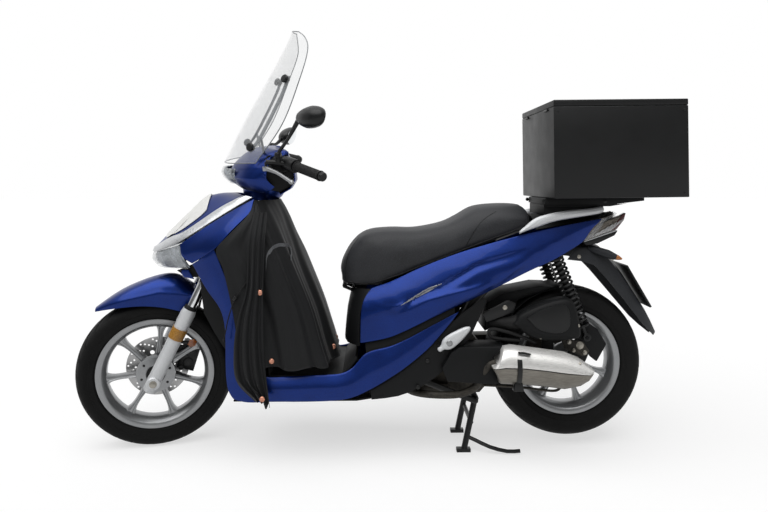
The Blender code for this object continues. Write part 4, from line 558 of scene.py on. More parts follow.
        # Reflex tape and marker, pressed: dull amber and orange, in prism cells of 3 mm.
        surface("amber_reflex", "B98532", "93651F", 3.0, 0.05, (0.24, 0.34), None, 0.2,
                "ShaderNodeTexVoronoi")
        surface("orange_reflex", "AE5F22", "7E3F12", 3.0, 0.10, (0.16, 0.26), None, 0.2,
                "ShaderNodeTexVoronoi", values={"Coat Weight": 0.5})
        # Copper-plated press studs: a warm pink glint.
        surface("copper_plate", "E2A78E", "B97A62", 2.0, 0.02, (0.25, 0.40), None, metallic=0.85)
        # White vinyl plate, calendered smooth: slight yellowing.
        surface("white_vinyl_plate", "F1F1EF", "E2E2DE", 12.0, 0.0, (0.35, 0.45), None)
        # Grey webbing, woven at 1.5 mm: a dull, rough strip.
        surface("grey_webbing", "77797C", "4B4D50", 1.5, 0.20, (0.65, 0.80), "black_cloth", 0.3,
                "ShaderNodeTexMagic")
        # Silvered mirror glass: sharp, colourless reflections.
        surface("mirror_glass", "E6E9EB", "D9DDE0", 30.0, 0.0, (0.02, 0.04), "bright_trim", metallic=1.0)
        # Studio floor, rolled matt paint: pale, with no shine of its own.
        surface("studio_floor", "B0B0B0", "AEAEAE", 40.0, 0.0, (0.85, 0.95), None, specular=0.1)
        return {"FINISHED"}


class SCOOTER_OT_stage(bpy.types.Operator):
    """Camera, floor and soft studio light"""
    bl_idname = "scooter.stage"
    bl_label = "Stage"

    def execute(self, context):
        scene = context.scene
        scene.view_settings.view_transform = "Standard"
        lens = bpy.data.cameras.new("photo_camera")
        lens.sensor_width = SENSOR_MM
        lens.lens = SENSOR_MM * FOCAL_PIXELS / PICTURE_WIDE
        lens.shift_y = (EYE_ROW - PICTURE_TALL / 2) / PICTURE_WIDE
        camera = linked("photo_camera", lens)
        camera.location = Vector(EYE) + Vector(ROOT)
        camera.rotation_euler = (math.radians(90), 0.0, EYE_TURN)
        scene.camera = camera
        floor = bpy.data.meshes.new("studio_floor")
        reach = 30.0
        floor.from_pydata([(-reach, -reach, 0), (reach, -reach, 0), (reach, reach, 0),
                           (-reach, reach, 0)], [], [(0, 1, 2, 3)])
        ground = linked("studio_floor", floor)
        paint = finishes["studio_floor"][0]
        floor.materials.append(paint)
        tree = paint.node_tree
        path = add_node(tree, "ShaderNodeLightPath")
        shiny = add_node(tree, "ShaderNodeMath", {"operation": "MAXIMUM"},
                         links={0: path.outputs["Is Glossy Ray"], 1: path.outputs["Is Transmission Ray"]})
        seen = add_node(tree, "ShaderNodeMath", {"operation": "MAXIMUM"},
                        links={0: path.outputs["Is Camera Ray"], 1: shiny.outputs[0]})
        lift = add_node(tree, "ShaderNodeMath", {"operation": "MULTIPLY"}, {1: FLOOR_LIFT},
                        {0: seen.outputs[0]})
        shader = tree.nodes["Principled BSDF"]
        shader.inputs["Emission Color"].default_value = (1.0, 1.0, 1.0, 1.0)
        tree.links.new(lift.outputs[0], shader.inputs["Emission Strength"])
        for name, strength, spread, tilt in (("key", 2.35, 70, (20, -14, 0)),
                                             ("fill", 0.28, 90, (52, 30, 0))):
            lamp = bpy.data.lights.new(name, "SUN")
            lamp.energy = strength
            lamp.angle = math.radians(spread)
            sun = linked(name, lamp)
            sun.rotation_euler = [math.radians(a) for a in tilt]
        self.light_world(scene)
        return {"FINISHED"}

    def light_world(self, scene):
        """White to the eye and in reflections from above and ahead; dimmer as a light on the pieces."""
        world = bpy.data.worlds.new("studio")
        scene.world = world
        world.use_nodes = True
        tree = world.node_tree
        back = tree.nodes["Background"]
        back.inputs["Color"].default_value = (1.0, 1.0, 1.0, 1.0)
        path = add_node(tree, "ShaderNodeLightPath")
        place = add_node(tree, "ShaderNodeTexCoord")
        parts = add_node(tree, "ShaderNodeSeparateXYZ", links={"Vector": place.outputs["Generated"]})
        ahead = add_node(tree, "ShaderNodeMapRange",
                         values={"From Min": -0.4, "From Max": 0.4, "To Min": 0.14, "To Max": 1.0},
                         links={"Value": parts.outputs["Y"]})
        above = add_node(tree, "ShaderNodeMapRange",
                         values={"From Min": 0.30, "From Max": 0.85, "To Min": 0.0, "To Max": 1.0},
                         links={"Value": parts.outputs["Z"]})
        room = add_node(tree, "ShaderNodeMath", {"operation": "MAXIMUM"},
                        links={0: ahead.outputs[0], 1: above.outputs[0]})
        seen = add_node(tree, "ShaderNodeMath", {"operation": "MAXIMUM"},
                        links={0: path.outputs["Is Camera Ray"], 1: path.outputs["Is Transmission Ray"]})
        shine = add_node(tree, "ShaderNodeMix", values={2: ROOM_LEVEL},
                         links={"Factor": path.outputs["Is Glossy Ray"], 3: room.outputs[0]})
        level = add_node(tree, "ShaderNodeMath", {"operation": "MAXIMUM"},
                         links={0: seen.outputs[0], 1: shine.outputs[0]})
        tree.links.new(level.outputs[0], back.inputs["Strength"])


class SCOOTER_OT_drawcord(bpy.types.Operator):
    """The apron's drawcord and its toggle"""
    bl_idname = "scooter.drawcord"
    bl_label = "Drawcord"

    def execute(self, context):
        route = smooth([(0.383, -0.240, 0.666), (0.378, -0.243, 0.640), (0.356, -0.243, 0.606),
                        (0.334, -0.241, 0.574), (0.322, -0.239, 0.540), (0.310, -0.236, 0.500),
                        (0.297, -0.233, 0.437)], 28)
        curve = bpy.data.curves.new("apron_drawcord", "CURVE")
        curve.dimensions = "3D"
        curve.bevel_depth = 0.002
        curve.bevel_resolution = 3
        curve.use_fill_caps = True
        line = curve.splines.new("POLY")
        line.points.add(len(route) - 1)
        for point, spot in zip(line.points, route):
            point.co = (*(spot + ROOT), 1.0)
        cord = finished(linked("apron_drawcord", curve), "grip_rubber", "chassis")
        way = route[14] - route[12]
        barrel = [(1e-5, -0.009), (0.005, -0.009), (0.0065, -0.004), (0.0065, 0.006), (0.0045, 0.009),
                  (1e-5, 0.009)]
        toggle = put("drawcord_toggle", turned(barrel, route[13], way, 20), "moulded_abs", "chassis")
        bead = turned([(1e-5, -0.005), (0.0036, -0.003), (0.0042, 0.0), (0.0034, 0.004), (1e-5, 0.005)],
                      route[-1], route[-1] - route[-2], 16)
        knot = put("drawcord_knot", bead, "grip_rubber", "chassis")
        return {"FINISHED"}


def tyre_shape(outer, half, seat, seat_half, axle, groove, pitches):
    """A tyre with slanted tread grooves: outside from bead to bead, then the inside back."""
    steps = pitches * 12
    lip = seat + 0.0145
    side = [(seat + 0.0004, seat_half - 0.0004), (lip, seat_half - 0.0004), (lip + 0.006, half * 0.80),
            (lip + 0.009, half * 0.80), (lip + 0.022, half * 0.91), (lip + 0.024, half * 0.90),
            (outer - half * 0.62, half), (outer - half * 0.40, half * 0.96)]
    crown = [(outer - half * 0.26, half * 0.85), (outer - half * 0.145, half * 0.66),
             (outer - half * 0.055, half * 0.42), (outer - half * 0.012, half * 0.20), (outer, 0.0)]
    crown = [tuple(p) for p in smooth(crown, 15)]
    right = side + crown
    outside = right + [(r, -y) for r, y in right[-2::-1]]
    inner = [(outer - 0.013, half * 0.45), (outer - half * 0.50, half - 0.009),
             (seat + 0.0004, seat_half - 0.009)]
    profile = outside + [(r, -y) for r, y in inner[::-1]] + inner
    first = len(side)
    last = len(outside) - len(side)
    loops = []
    for k in range(steps):
        angle = 2 * math.pi * k / steps
        loop = []
        for i, (r, y) in enumerate(profile):
            share = abs(y) / half
            if first <= i < last:
                lane = 1.0 if y >= 0 else 0.5
                phase = (k / 12 + lane - share * 1.5) % 1.0
                if 0.10 < share < 0.84 and phase < 0.20:
                    r -= groove
            loop.append(axle + np.array([r * math.cos(angle), y, r * math.sin(angle)]))
        loops.append(loop)
    return loft(loops, closed=True)


def wheel_shape(seat, seat_half, axle):
    """A cast wheel: lipped barrel, hub with a bolt face and waisted spokes."""
    outer = seat_half + 0.004
    well = seat - 0.012
    barrel = [(seat + 0.014, -outer), (seat + 0.0135, -seat_half), (seat, -seat_half),
              (well, -seat_half * 0.5), (well, seat_half * 0.5), (seat, seat_half),
              (seat + 0.0135, seat_half), (seat + 0.014, outer), (seat + 0.010, outer + 0.0012),
              (seat - 0.004, outer - 0.001), (seat - 0.007, outer - 0.004),
              (well - 0.007, seat_half * 0.55), (well - 0.009, seat_half * 0.3),
              (well - 0.009, -seat_half * 0.3), (well - 0.007, -seat_half * 0.55),
              (seat - 0.007, -outer + 0.004), (seat - 0.004, -outer + 0.001),
              (seat + 0.010, -outer - 0.0012)]
    shapes = [turned(barrel, axle, SIDE, 120, True)]
    hub = [(0.0115, -0.0400), (0.0340, -0.0400), (0.0352, -0.0375), (0.0600, -0.0362), (0.0640, -0.0375),
           (0.0680, -0.0362), (0.0695, -0.0320), (0.0690, -0.0260), (0.0560, -0.0180), (0.0440, -0.0130),
           (0.0410, 0.0), (0.0420, 0.0200), (0.0420, 0.0395), (0.0115, 0.0395)]
    shapes.append(turned(hub, axle, SIDE, 72, True))
    for k in range(SPOKES):
        angle = math.radians(83) + 2 * math.pi * k / SPOKES
        out = np.array([math.cos(angle), 0.0, math.sin(angle)])
        turn = np.array([-math.sin(angle), 0.0, math.cos(angle)])
        span = smooth([(0.036, 0.0165, 0.021), (0.066, 0.0125, 0.019), (seat * 0.6, 0.0085, 0.0145),
                       (well - 0.030, 0.0105, 0.0155), (well - 0.010, 0.0180, 0.0185),
                       (well - 0.004, 0.026, 0.021)], 15)
        loops = []
        for radius, wide, deep in span:
            ring = [(1.0, -0.55), (0.80, -0.92), (0.45, -1.0), (0.25, -0.86), (-0.25, -0.86),
                    (-0.45, -1.0), (-0.80, -0.92), (-1.0, -0.55)]
            ring += [(a, -b) for a, b in ring[::-1]]
            loops.append([axle + out * radius + turn * a * wide + SIDE * b * deep for a, b in ring])
        shapes.append(loft(loops))
    return together(shapes)


def disc_with_holes(axle):
    """A brake disc with four rows of drilled holes and cut-outs near its hub."""
    y0, y1 = 0.0404, 0.0454
    ring = [(0.0115, y0), (0.062, y0), (0.066, y0 + 0.0006), (0.1115, y0), (0.112, y0 + 0.0008),
            (0.112, y1 - 0.0008), (0.1115, y1), (0.066, y1), (0.062, y1), (0.0115, y1)]
    disc = turned(ring, axle, SIDE, 120, True)
    holes = []
    for row, (radius, count, size) in enumerate(((0.078, 14, 0.0038), (0.087, 14, 0.0038),
                                                 (0.096, 14, 0.0038), (0.104, 14, 0.0038),
                                                 (0.056, 7, 0.0085))):
        for k in range(count):
            angle = 2 * math.pi * (k + 0.28 * row) / count
            centre = axle + radius * np.array([math.cos(angle), 0.0, math.sin(angle)])
            holes.append(turned([(size, y0 - 0.004), (size, y1 + 0.004)], centre, SIDE, 14))
    return disc, together(holes)


class SCOOTER_OT_wheels(bpy.types.Operator):
    """Tyres, cast wheels, brake disc, hub seals, bolts and valves"""
    bl_idname = "scooter.wheels"
    bl_label = "Wheels"

    def execute(self, context):
        groove = context.scene.scooter_sizes.groove
        for end, sizes, axle, steered in WHEELS:
            tyre = tyre_shape(*sizes, axle, groove, TREAD_PITCHES)
            put(end + "_tyre_tread", tyre, "tyre_rubber", end + "_wheel", steered,
                stands_for=[end + "_tyre"])
        for end, sizes, axle, steered in WHEELS:
            casting = wheel_shape(*sizes[2:], axle)
            put(end + "_wheel_casting", casting, "silver_wheel_paint", end + "_wheel", steered,
                stands_for=[end + "_rim"])
        disc, holes = disc_with_holes(FRONT_AXLE)
        tool = put("hole_tool", holes, "raw_casting", "front_wheel", True)
        plate = put("drilled_disc", disc, "ground_disc_steel", "front_wheel", True,
                    stands_for=["front_brake_disc"])
        step = plate.modifiers.new("holes", "BOOLEAN")
        step.operation = "DIFFERENCE"
        step.object = tool
        applied(plate)
        bpy.data.objects.remove(tool)
        finished(plate, "ground_disc_steel", "front_wheel", ["front_brake_disc"])
        seal = [(0.0112, -0.0402), (0.0325, -0.0402), (0.0330, -0.0418), (0.0280, -0.0428),
                (0.0112, -0.0428)]
        put("front_hub_seal", turned(seal, FRONT_AXLE, SIDE, 48, True), "grip_rubber", "front_wheel", True)
        bolts = []
        for k in range(6):
            angle = math.radians(20 + 60 * k)
            spot = FRONT_AXLE + np.array([0.0520 * math.cos(angle), -0.0366, 0.0520 * math.sin(angle)])
            bolts.append(hex_bolt(spot, -SIDE, 0.0034, 0.003))
        put("front_hub_bolts", together(bolts), "black_enamel", "front_wheel", True)
        for name, axle, radius, body, steered in (("front_valve", FRONT_AXLE, 0.170, "front_wheel", True),
                                                  ("rear_valve", REAR_AXLE, 0.157, "rear_wheel", False)):
            out = np.array([math.cos(0.55), 0.0, math.sin(0.55)])
            foot = axle + out * radius
            put(name, tube([foot, foot - out * 0.012, foot - out * 0.020 - SIDE * 0.012],
                           [0.0055, 0.004, 0.0035], 9, 12), "grip_rubber", body, steered)
        return {"FINISHED"}


def fork_point(along, y=0.0):
    """A point up the fork from the axle, and out to one side."""
    return FRONT_AXLE + AXIS * along + SIDE * y


class SCOOTER_OT_fork(bpy.types.Operator):
    """Sliders, stanchions, yoke, caliper, hose, fender and reflectors"""
    bl_idname = "scooter.fork"
    bl_label = "Fork"

    def execute(self, context):
        for side, word in SIDES:
            y = side * FORK_HALF
            leg = [(1e-5, -0.036), (0.021, -0.036), (0.024, -0.032), (0.0245, 0.05), (0.0245, 0.225),
                   (0.0262, 0.232), (0.0262, 0.268), (0.0250, 0.275), (0.0235, 0.283), (0.0230, 0.285),
                   (0.0172, 0.285), (0.0169, 0.240)]
            shapes = [turned(leg, fork_point(0.0, y), AXIS, 48)]
            clamp = [(0.0105, -0.026), (0.021, -0.026), (0.024, -0.023), (0.024, 0.023), (0.021, 0.026),
                     (0.0105, 0.026)]
            shapes.append(turned(clamp, fork_point(0.0, y), SIDE, 40, True))
            put("fork_slider_casting_" + word, together(shapes), "silver_powder_coat", "fork_lower", True,
                stands_for=["fork_slider_" + word])
            seal = [(0.0170, 0.285), (0.0222, 0.285), (0.0226, 0.290), (0.0205, 0.296), (0.0170, 0.298)]
            put("fork_seal_" + word, turned(seal, fork_point(0.0, y), AXIS, 40, True), "grip_rubber",
                "fork_lower", True)
            nut = hex_bolt(fork_point(0.0, y) + SIDE * side * 0.026, SIDE * side, 0.0095, 0.009)
            put("axle_nut_" + word, nut, "plated_steel", "fork_lower", True)
            lug = tube([fork_point(0.262, y),
                        fork_point(0.262, y) + np.array([-0.010, -side * 0.018, 0.004])], 0.008, 4, 12)
            put("fender_lug_" + word, lug, "silver_wheel_paint", "fork_lower", True)
        axle = turned([(1e-5, -0.137), (0.0100, -0.137), (0.0100, 0.137), (1e-5, 0.137)], FRONT_AXLE,
                      SIDE, 32)
        put("front_axle_bar", axle, "plated_steel", "fork_lower", True)
        shapes = []
        for y in (-FORK_HALF, FORK_HALF):
            shapes.append(turned([(1e-5, 0.10), (0.0165, 0.10), (0.0165, 0.486), (0.015, 0.489),
                                  (1e-5, 0.489)], fork_point(0.0, y), AXIS, 40))
        put("chromed_stanchions", together(shapes), "hard_chrome", "steering", True)
        refined("fork_yoke", "black_enamel", 0, 0.003)
        refined("front_caliper", "moulded_abs", 0, 0.004)
        band = turned([(0.0250, 0.170), (0.0272, 0.170), (0.0272, 0.210), (0.0250, 0.210)],
                      fork_point(0.0, -FORK_HALF), AXIS, 48, True)
        put("slider_reflector_band", band, "amber_reflex", "fork_lower", True)
        spot = fork_point(0.175, -0.100) + OFF_AXIS * 0.060
        lens = turned([(1e-5, 0), (0.016, 0), (0.017, 0.003), (0.014, 0.006), (1e-5, 0.007)], spot,
                      -SIDE + OFF_AXIS * 0.4, 6)
        put("side_reflector", lens, "orange_reflex", "fork_lower", True)
        put("reflector_stay",
            tube([fork_point(0.165, -FORK_HALF) + OFF_AXIS * 0.023, spot + SIDE * 0.004], 0.006, 4, 10),
            "moulded_abs", "fork_lower", True)
        self.caliper()
        hose = [FRONT_AXLE + np.array([0.105, 0.060, 0.050]), (0.150, 0.085, 0.400),
                (0.150, 0.080, 0.480), (0.190, 0.060, 0.600), (0.270, 0.030, 0.720)]
        put("brake_hose", tube(hose, 0.0045, 40, 12), "grip_rubber", "fork_lower", True)
        refined("front_fender", "clear_coated_paint", 3, 0.0006, form=fender_form)
        return {"FINISHED"}

    def caliper(self):
        """Piston housings, pins and a bleed nipple on the caliper."""
        centre = FRONT_AXLE + np.array([0.112, 0.0, 0.033])
        along = np.array([0.30, 0.0, 0.954])
        out = np.array([0.954, 0.0, -0.30])
        near = SIDE * 0.0228
        shapes = []
        for step in (-0.022, 0.020):
            cap = [(1e-5, -0.002), (0.0195, -0.002), (0.0195, 0.0015), (0.0165, 0.0032), (0.0120, 0.0034),
                   (0.0110, 0.0026), (1e-5, 0.0026)]
            shapes.append(turned(cap, centre + along * step + out * 0.004 + near, -SIDE, 28))
        for step, shift in ((-0.046, -0.016), (0.044, -0.020), (0.046, 0.022)):
            shapes.append(turned([(1e-5, -0.003), (0.0085, -0.003), (0.0095, -0.001), (0.0095, 0.046),
                                  (1e-5, 0.046)], centre + along * step + out * shift + near, SIDE, 18))
        shapes.append(tube([centre + along * 0.044 + out * 0.010 + near,
                            centre + along * 0.060 + out * 0.014 + near], [0.0065, 0.0035], 5, 10))
        deep = near + SIDE * 0.010
        arm = [centre + along * 0.030 - out * 0.030 + deep, centre - along * 0.004 - out * 0.046 + deep,
               centre - along * 0.034 - out * 0.036 + deep]
        shapes.append(tube(arm, [0.011, 0.013, 0.010], 14, 14))
        put("caliper_pistons", together(shapes), "moulded_abs", "fork_lower", True)
        for step in (-0.022, 0.020):
            pin = hex_bolt(centre + along * step + out * 0.004 + near - SIDE * 0.0024, -SIDE, 0.004, 0.0014)
            put("caliper_plug_" + ("low" if step < 0 else "high"), pin, "black_enamel", "fork_lower", True)


def fender_form(mesh):
    """Press a swage line along the fender's flanks."""
    turn_back = STEERED.inverted()
    for vertex, normal in zip(mesh.vertices, [n.vector.copy() for n in mesh.vertex_normals]):
        spot = turn_back @ vertex.co
        line = np.interp(spot.x, (-0.2, -0.10, 0.02, 0.14), (0.520, 0.556, 0.580, 0.566))
        fade = min(1.0, max(0.0, (spot.x + 0.17) / 0.06))
        push = 0.0032 * math.exp(-((spot.z - line) / 0.010) ** 2) * fade
        vertex.co += normal * push * (1 if abs(spot.y) > 0.03 else 0)


def fall_off(distance, reach):
    """A bell curve of a distance."""
    return math.exp(-(distance / reach) ** 2)


def side_form(mesh):
    """Fold a shoulder and a lower ridge into a side cover."""
    for vertex, normal in zip(mesh.vertices, [n.vector.copy() for n in mesh.vertex_normals]):
        spot = vertex.co - Vector(ROOT)
        if abs(normal.y) < 0.3:
            continue
        shoulder = np.interp(spot.x, (0.88, 0.98, 1.03, 1.155, 1.30, 1.42),
                             (0.540, 0.600, 0.619, 0.691, 0.732, 0.760))
        ridge = np.interp(spot.x, (0.86, 0.99, 1.127, 1.189), (0.527, 0.565, 0.594, 0.614))
        near = np.interp(spot.x, (0.84, 0.93, 1.12, 1.34), (0.0, 1.0, 1.0, 0.0))
        low = np.interp(spot.x, (0.83, 0.90, 1.15, 1.21), (0.0, 1.0, 1.0, 0.0))
        under = shoulder - spot.z
        push = -0.009 * near * (fall_off(under - 0.016, 0.016) if under > 0.016
                                else 1 / (1 + math.exp(-(under - 0.006) * 900)))
        push += 0.007 * low * (fall_off(spot.z - ridge, 0.012) if spot.z > ridge
                               else fall_off(spot.z - ridge, 0.045))
        outward = -1 if spot.y < 0 else 1
        vertex.co.y += outward * push


class SCOOTER_OT_panels(bpy.types.Operator):
    """Painted panels, black covers, side fins and panel bolts"""
    bl_idname = "scooter.panels"
    bl_label = "Panels"

    def execute(self, context):
        for side, word in SIDES:
            refined("side_cover_" + word, "clear_coated_paint", 3, 0.0008, form=side_form)
            refined("shield_upper_" + word, "clear_coated_paint", 2)
            refined("floor_side_" + word, "clear_coated_paint", 2)
            self.fin(word, side)
            bolts = []
            for x, z in ((0.949, 0.262), (0.982, 0.352), (1.080, 0.420)):
                bolts.append(stud(np.array([x, side * 0.1915, z]), SIDE * side, 0.0065, 0.003))
            put("cover_bolts_" + word, together(bolts), "moulded_abs", "chassis")
        refined("front_cowl", "clear_coated_paint", 2)
        behind = [(0.110, 0.655), (0.150, 0.672), (0.200, 0.690), (0.215, 0.640), (0.175, 0.631),
                  (0.142, 0.635)]
        put("chin_infill", together([prism(behind, -0.129, -0.120), prism(behind, 0.120, 0.129)]),
            "moulded_polypropylene", "chassis", bevel=0.001)
        refined("front_trim", "satin_chrome_trim", 2)
        refined("leg_shield", "moulded_polypropylene", 0, 0.0015)
        refined("belly_tub", "moulded_polypropylene", 0, 0.0012)
        refined("seat_front_cover", "moulded_polypropylene", 0, 0.0010)
        infill = [(0.735, 0.415), (0.775, 0.415), (0.790, 0.505), (0.740, 0.505)]
        put("cover_infill", together([prism(infill, -0.136, -0.100), prism(infill, 0.100, 0.136)]),
            "moulded_polypropylene", "chassis", bevel=0.002)
        refined("seat_bucket", "moulded_polypropylene", 0, 0.0015)
        refined("fuel_tank", "moulded_polypropylene", 0, 0.010)
        refined("frame", "black_enamel", 0, 0.0)
        return {"FINISHED"}

    def fin(self, word, side):
        """The slim silver fin let into a side cover."""
        top = smooth([(0.890, 0.5435), (0.930, 0.569), (0.978, 0.5975), (1.031, 0.6155)], 48)
        low = smooth([(0.890, 0.5430), (0.938, 0.5655), (0.986, 0.5885), (1.031, 0.6150)], 48)
        grid = []
        for share in np.linspace(0, 1, 9):
            grid.append(pressed_on("side_cover_" + word, top + (low - top) * share, side, 0.0030))
        put("side_fin_" + word, shell(np.array(grid), 0.0022, (1.0, 0.0, 0.58)), "silver_wheel_paint",
            "chassis")


def fluted_bowl(name, lens, step, shrink, finish, body, flutes):
    """A fluted bright bowl that follows a lens from behind."""
    mesh = lens.data.copy()
    spots = np.array([v.co for v in mesh.vertices])
    middle = (spots.min(axis=0) + spots.max(axis=0)) / 2
    for vertex in mesh.vertices:
        moved = middle + (np.array(vertex.co) - middle) * np.array(shrink) + np.array(step)
        moved[0] += 0.0025 * math.sin(vertex.co.y * flutes)
        vertex.co = moved
    finished(linked(name, mesh), finish, body)


class SCOOTER_OT_lamps(bpy.types.Operator):
    """Front lamp, its reflector and bulbs, the bare front plate and the tail lamp"""
    bl_idname = "scooter.lamps"
    bl_label = "Lamps"

    def execute(self, context):
        lens = refined("front_lamp", "clear_polycarbonate", 2, 0.0006)
        fluted_bowl("front_reflector", lens, (0.012, 0.0, 0.0), (0.97, 0.98, 0.96),
                    "metallised_reflector", "chassis", 260)
        bulbs = [turned([(1e-5, 0), (0.013, 0), (0.013, 0.010), (0.010, 0.016), (1e-5, 0.019)],
                        (0.030, y, 0.690), (-1, 0, 0.1), 24) for y in (-0.030, 0.030)]
        put("front_bulbs", together(bulbs), "white_vinyl_plate", "chassis")
        rows = []
        for x, half in smooth([(0.056, 0.066), (0.075, 0.082), (0.120, 0.088), (0.178, 0.088),
                               (0.200, 0.080)], 36):
            rounded = 0.016 * np.interp(x, (0.056, 0.120), (1.0, 0.0))
            across = np.linspace(-half, half, 33)
            rows.append([(x - rounded * (1 - (y / half) ** 2), y, 1.2) for y in across])
        grid = np.array([laid_on("front_cowl", row, (0, 0, -1), 0.0042) for row in rows])
        put("front_bare_plate", shell(grid, 0.0014, (0.2, 0.0, 0.6)), "white_vinyl_plate", "chassis")
        tail = refined("tail_lamp", "clear_polycarbonate", 2, 0.0006)
        fluted_bowl("tail_reflector", tail, (-0.010, 0.0, 0.0), (0.97, 0.97, 0.95), "ribbed_housing",
                    "chassis", 420)
        self.tail_sides()
        return {"FINISHED"}

    def tail_sides(self):
        """Ribbed side windows, each with a dark red rear edge, a bright line and a black lower lip."""
        forms = (("window", "ribbed_housing",
                  [(1.552, 0.752), (1.627, 0.8205), (1.688, 0.8425), (1.652, 0.7905)]),
                 ("red_edge", "red_acrylic",
                  [(1.6885, 0.8425), (1.707, 0.8530), (1.700, 0.828), (1.672, 0.794), (1.6525, 0.7905)]),
                 ("line", "satin_chrome_trim",
                  [(1.5500, 0.7485), (1.5520, 0.7515), (1.670, 0.7925), (1.676, 0.7895)]),
                 ("lip", "moulded_abs",
                  [(1.548, 0.7475), (1.676, 0.7885), (1.664, 0.772), (1.600, 0.744), (1.560, 0.738)]))
        for side, word in SIDES:
            for part, finish, outline in forms:
                points, faces = prism(outline, -0.100, -0.070)
                lean = [(x, y + max(0.0, x - 1.60) * 0.12, z) for x, y, z in points]
                put("tail_%s_%s" % (part, word), on_side((lean, faces), side), finish, "chassis",
                    bevel=0.0010)
            ribs = []
            for k in range(9):
                low = np.array([1.560 + 0.0105 * k, -0.1005, 0.7575 + 0.0040 * k])
                reach = np.array([0.0072 * (k + 1), 0.0, 0.0060 * (k + 1)])
                ribs.append(tube([low, low + reach * min(1.0, 1.2 - 0.05 * k)], 0.0012, 3, 8))
            shape = together(ribs)
            put("tail_ribs_" + word, on_side(shape, side), "satin_chrome_trim", "chassis")


def bar_point(along, side):
    """A point on the handlebar's straight outer stretch, out from its bend."""
    bend = np.array([0.445, side * 0.170, 1.055])
    tip = np.array([0.561, side * 0.360, 1.018])
    return bend + (tip - bend) / np.linalg.norm(tip - bend) * along


def lever_path(side):
    """The line of a brake lever, from its pivot out to its ball."""
    return smooth([(0.388, side * 0.205, 1.033), (0.424, side * 0.258, 1.021),
                   (0.462, side * 0.322, 0.998)], 5)


# Screen rows: middle x and z, edge x, half width and edge z.
SCREEN = ((0.250, 1.040, 0.352, 0.185, 1.050), (0.325, 1.192, 0.440, 0.222, 1.185),
          (0.416, 1.356, 0.502, 0.212, 1.345), (0.470, 1.458, 0.532, 0.165, 1.440),
          (0.487, 1.494, 0.528, 0.116, 1.486), (0.496, 1.516, 0.516, 0.040, 1.513))


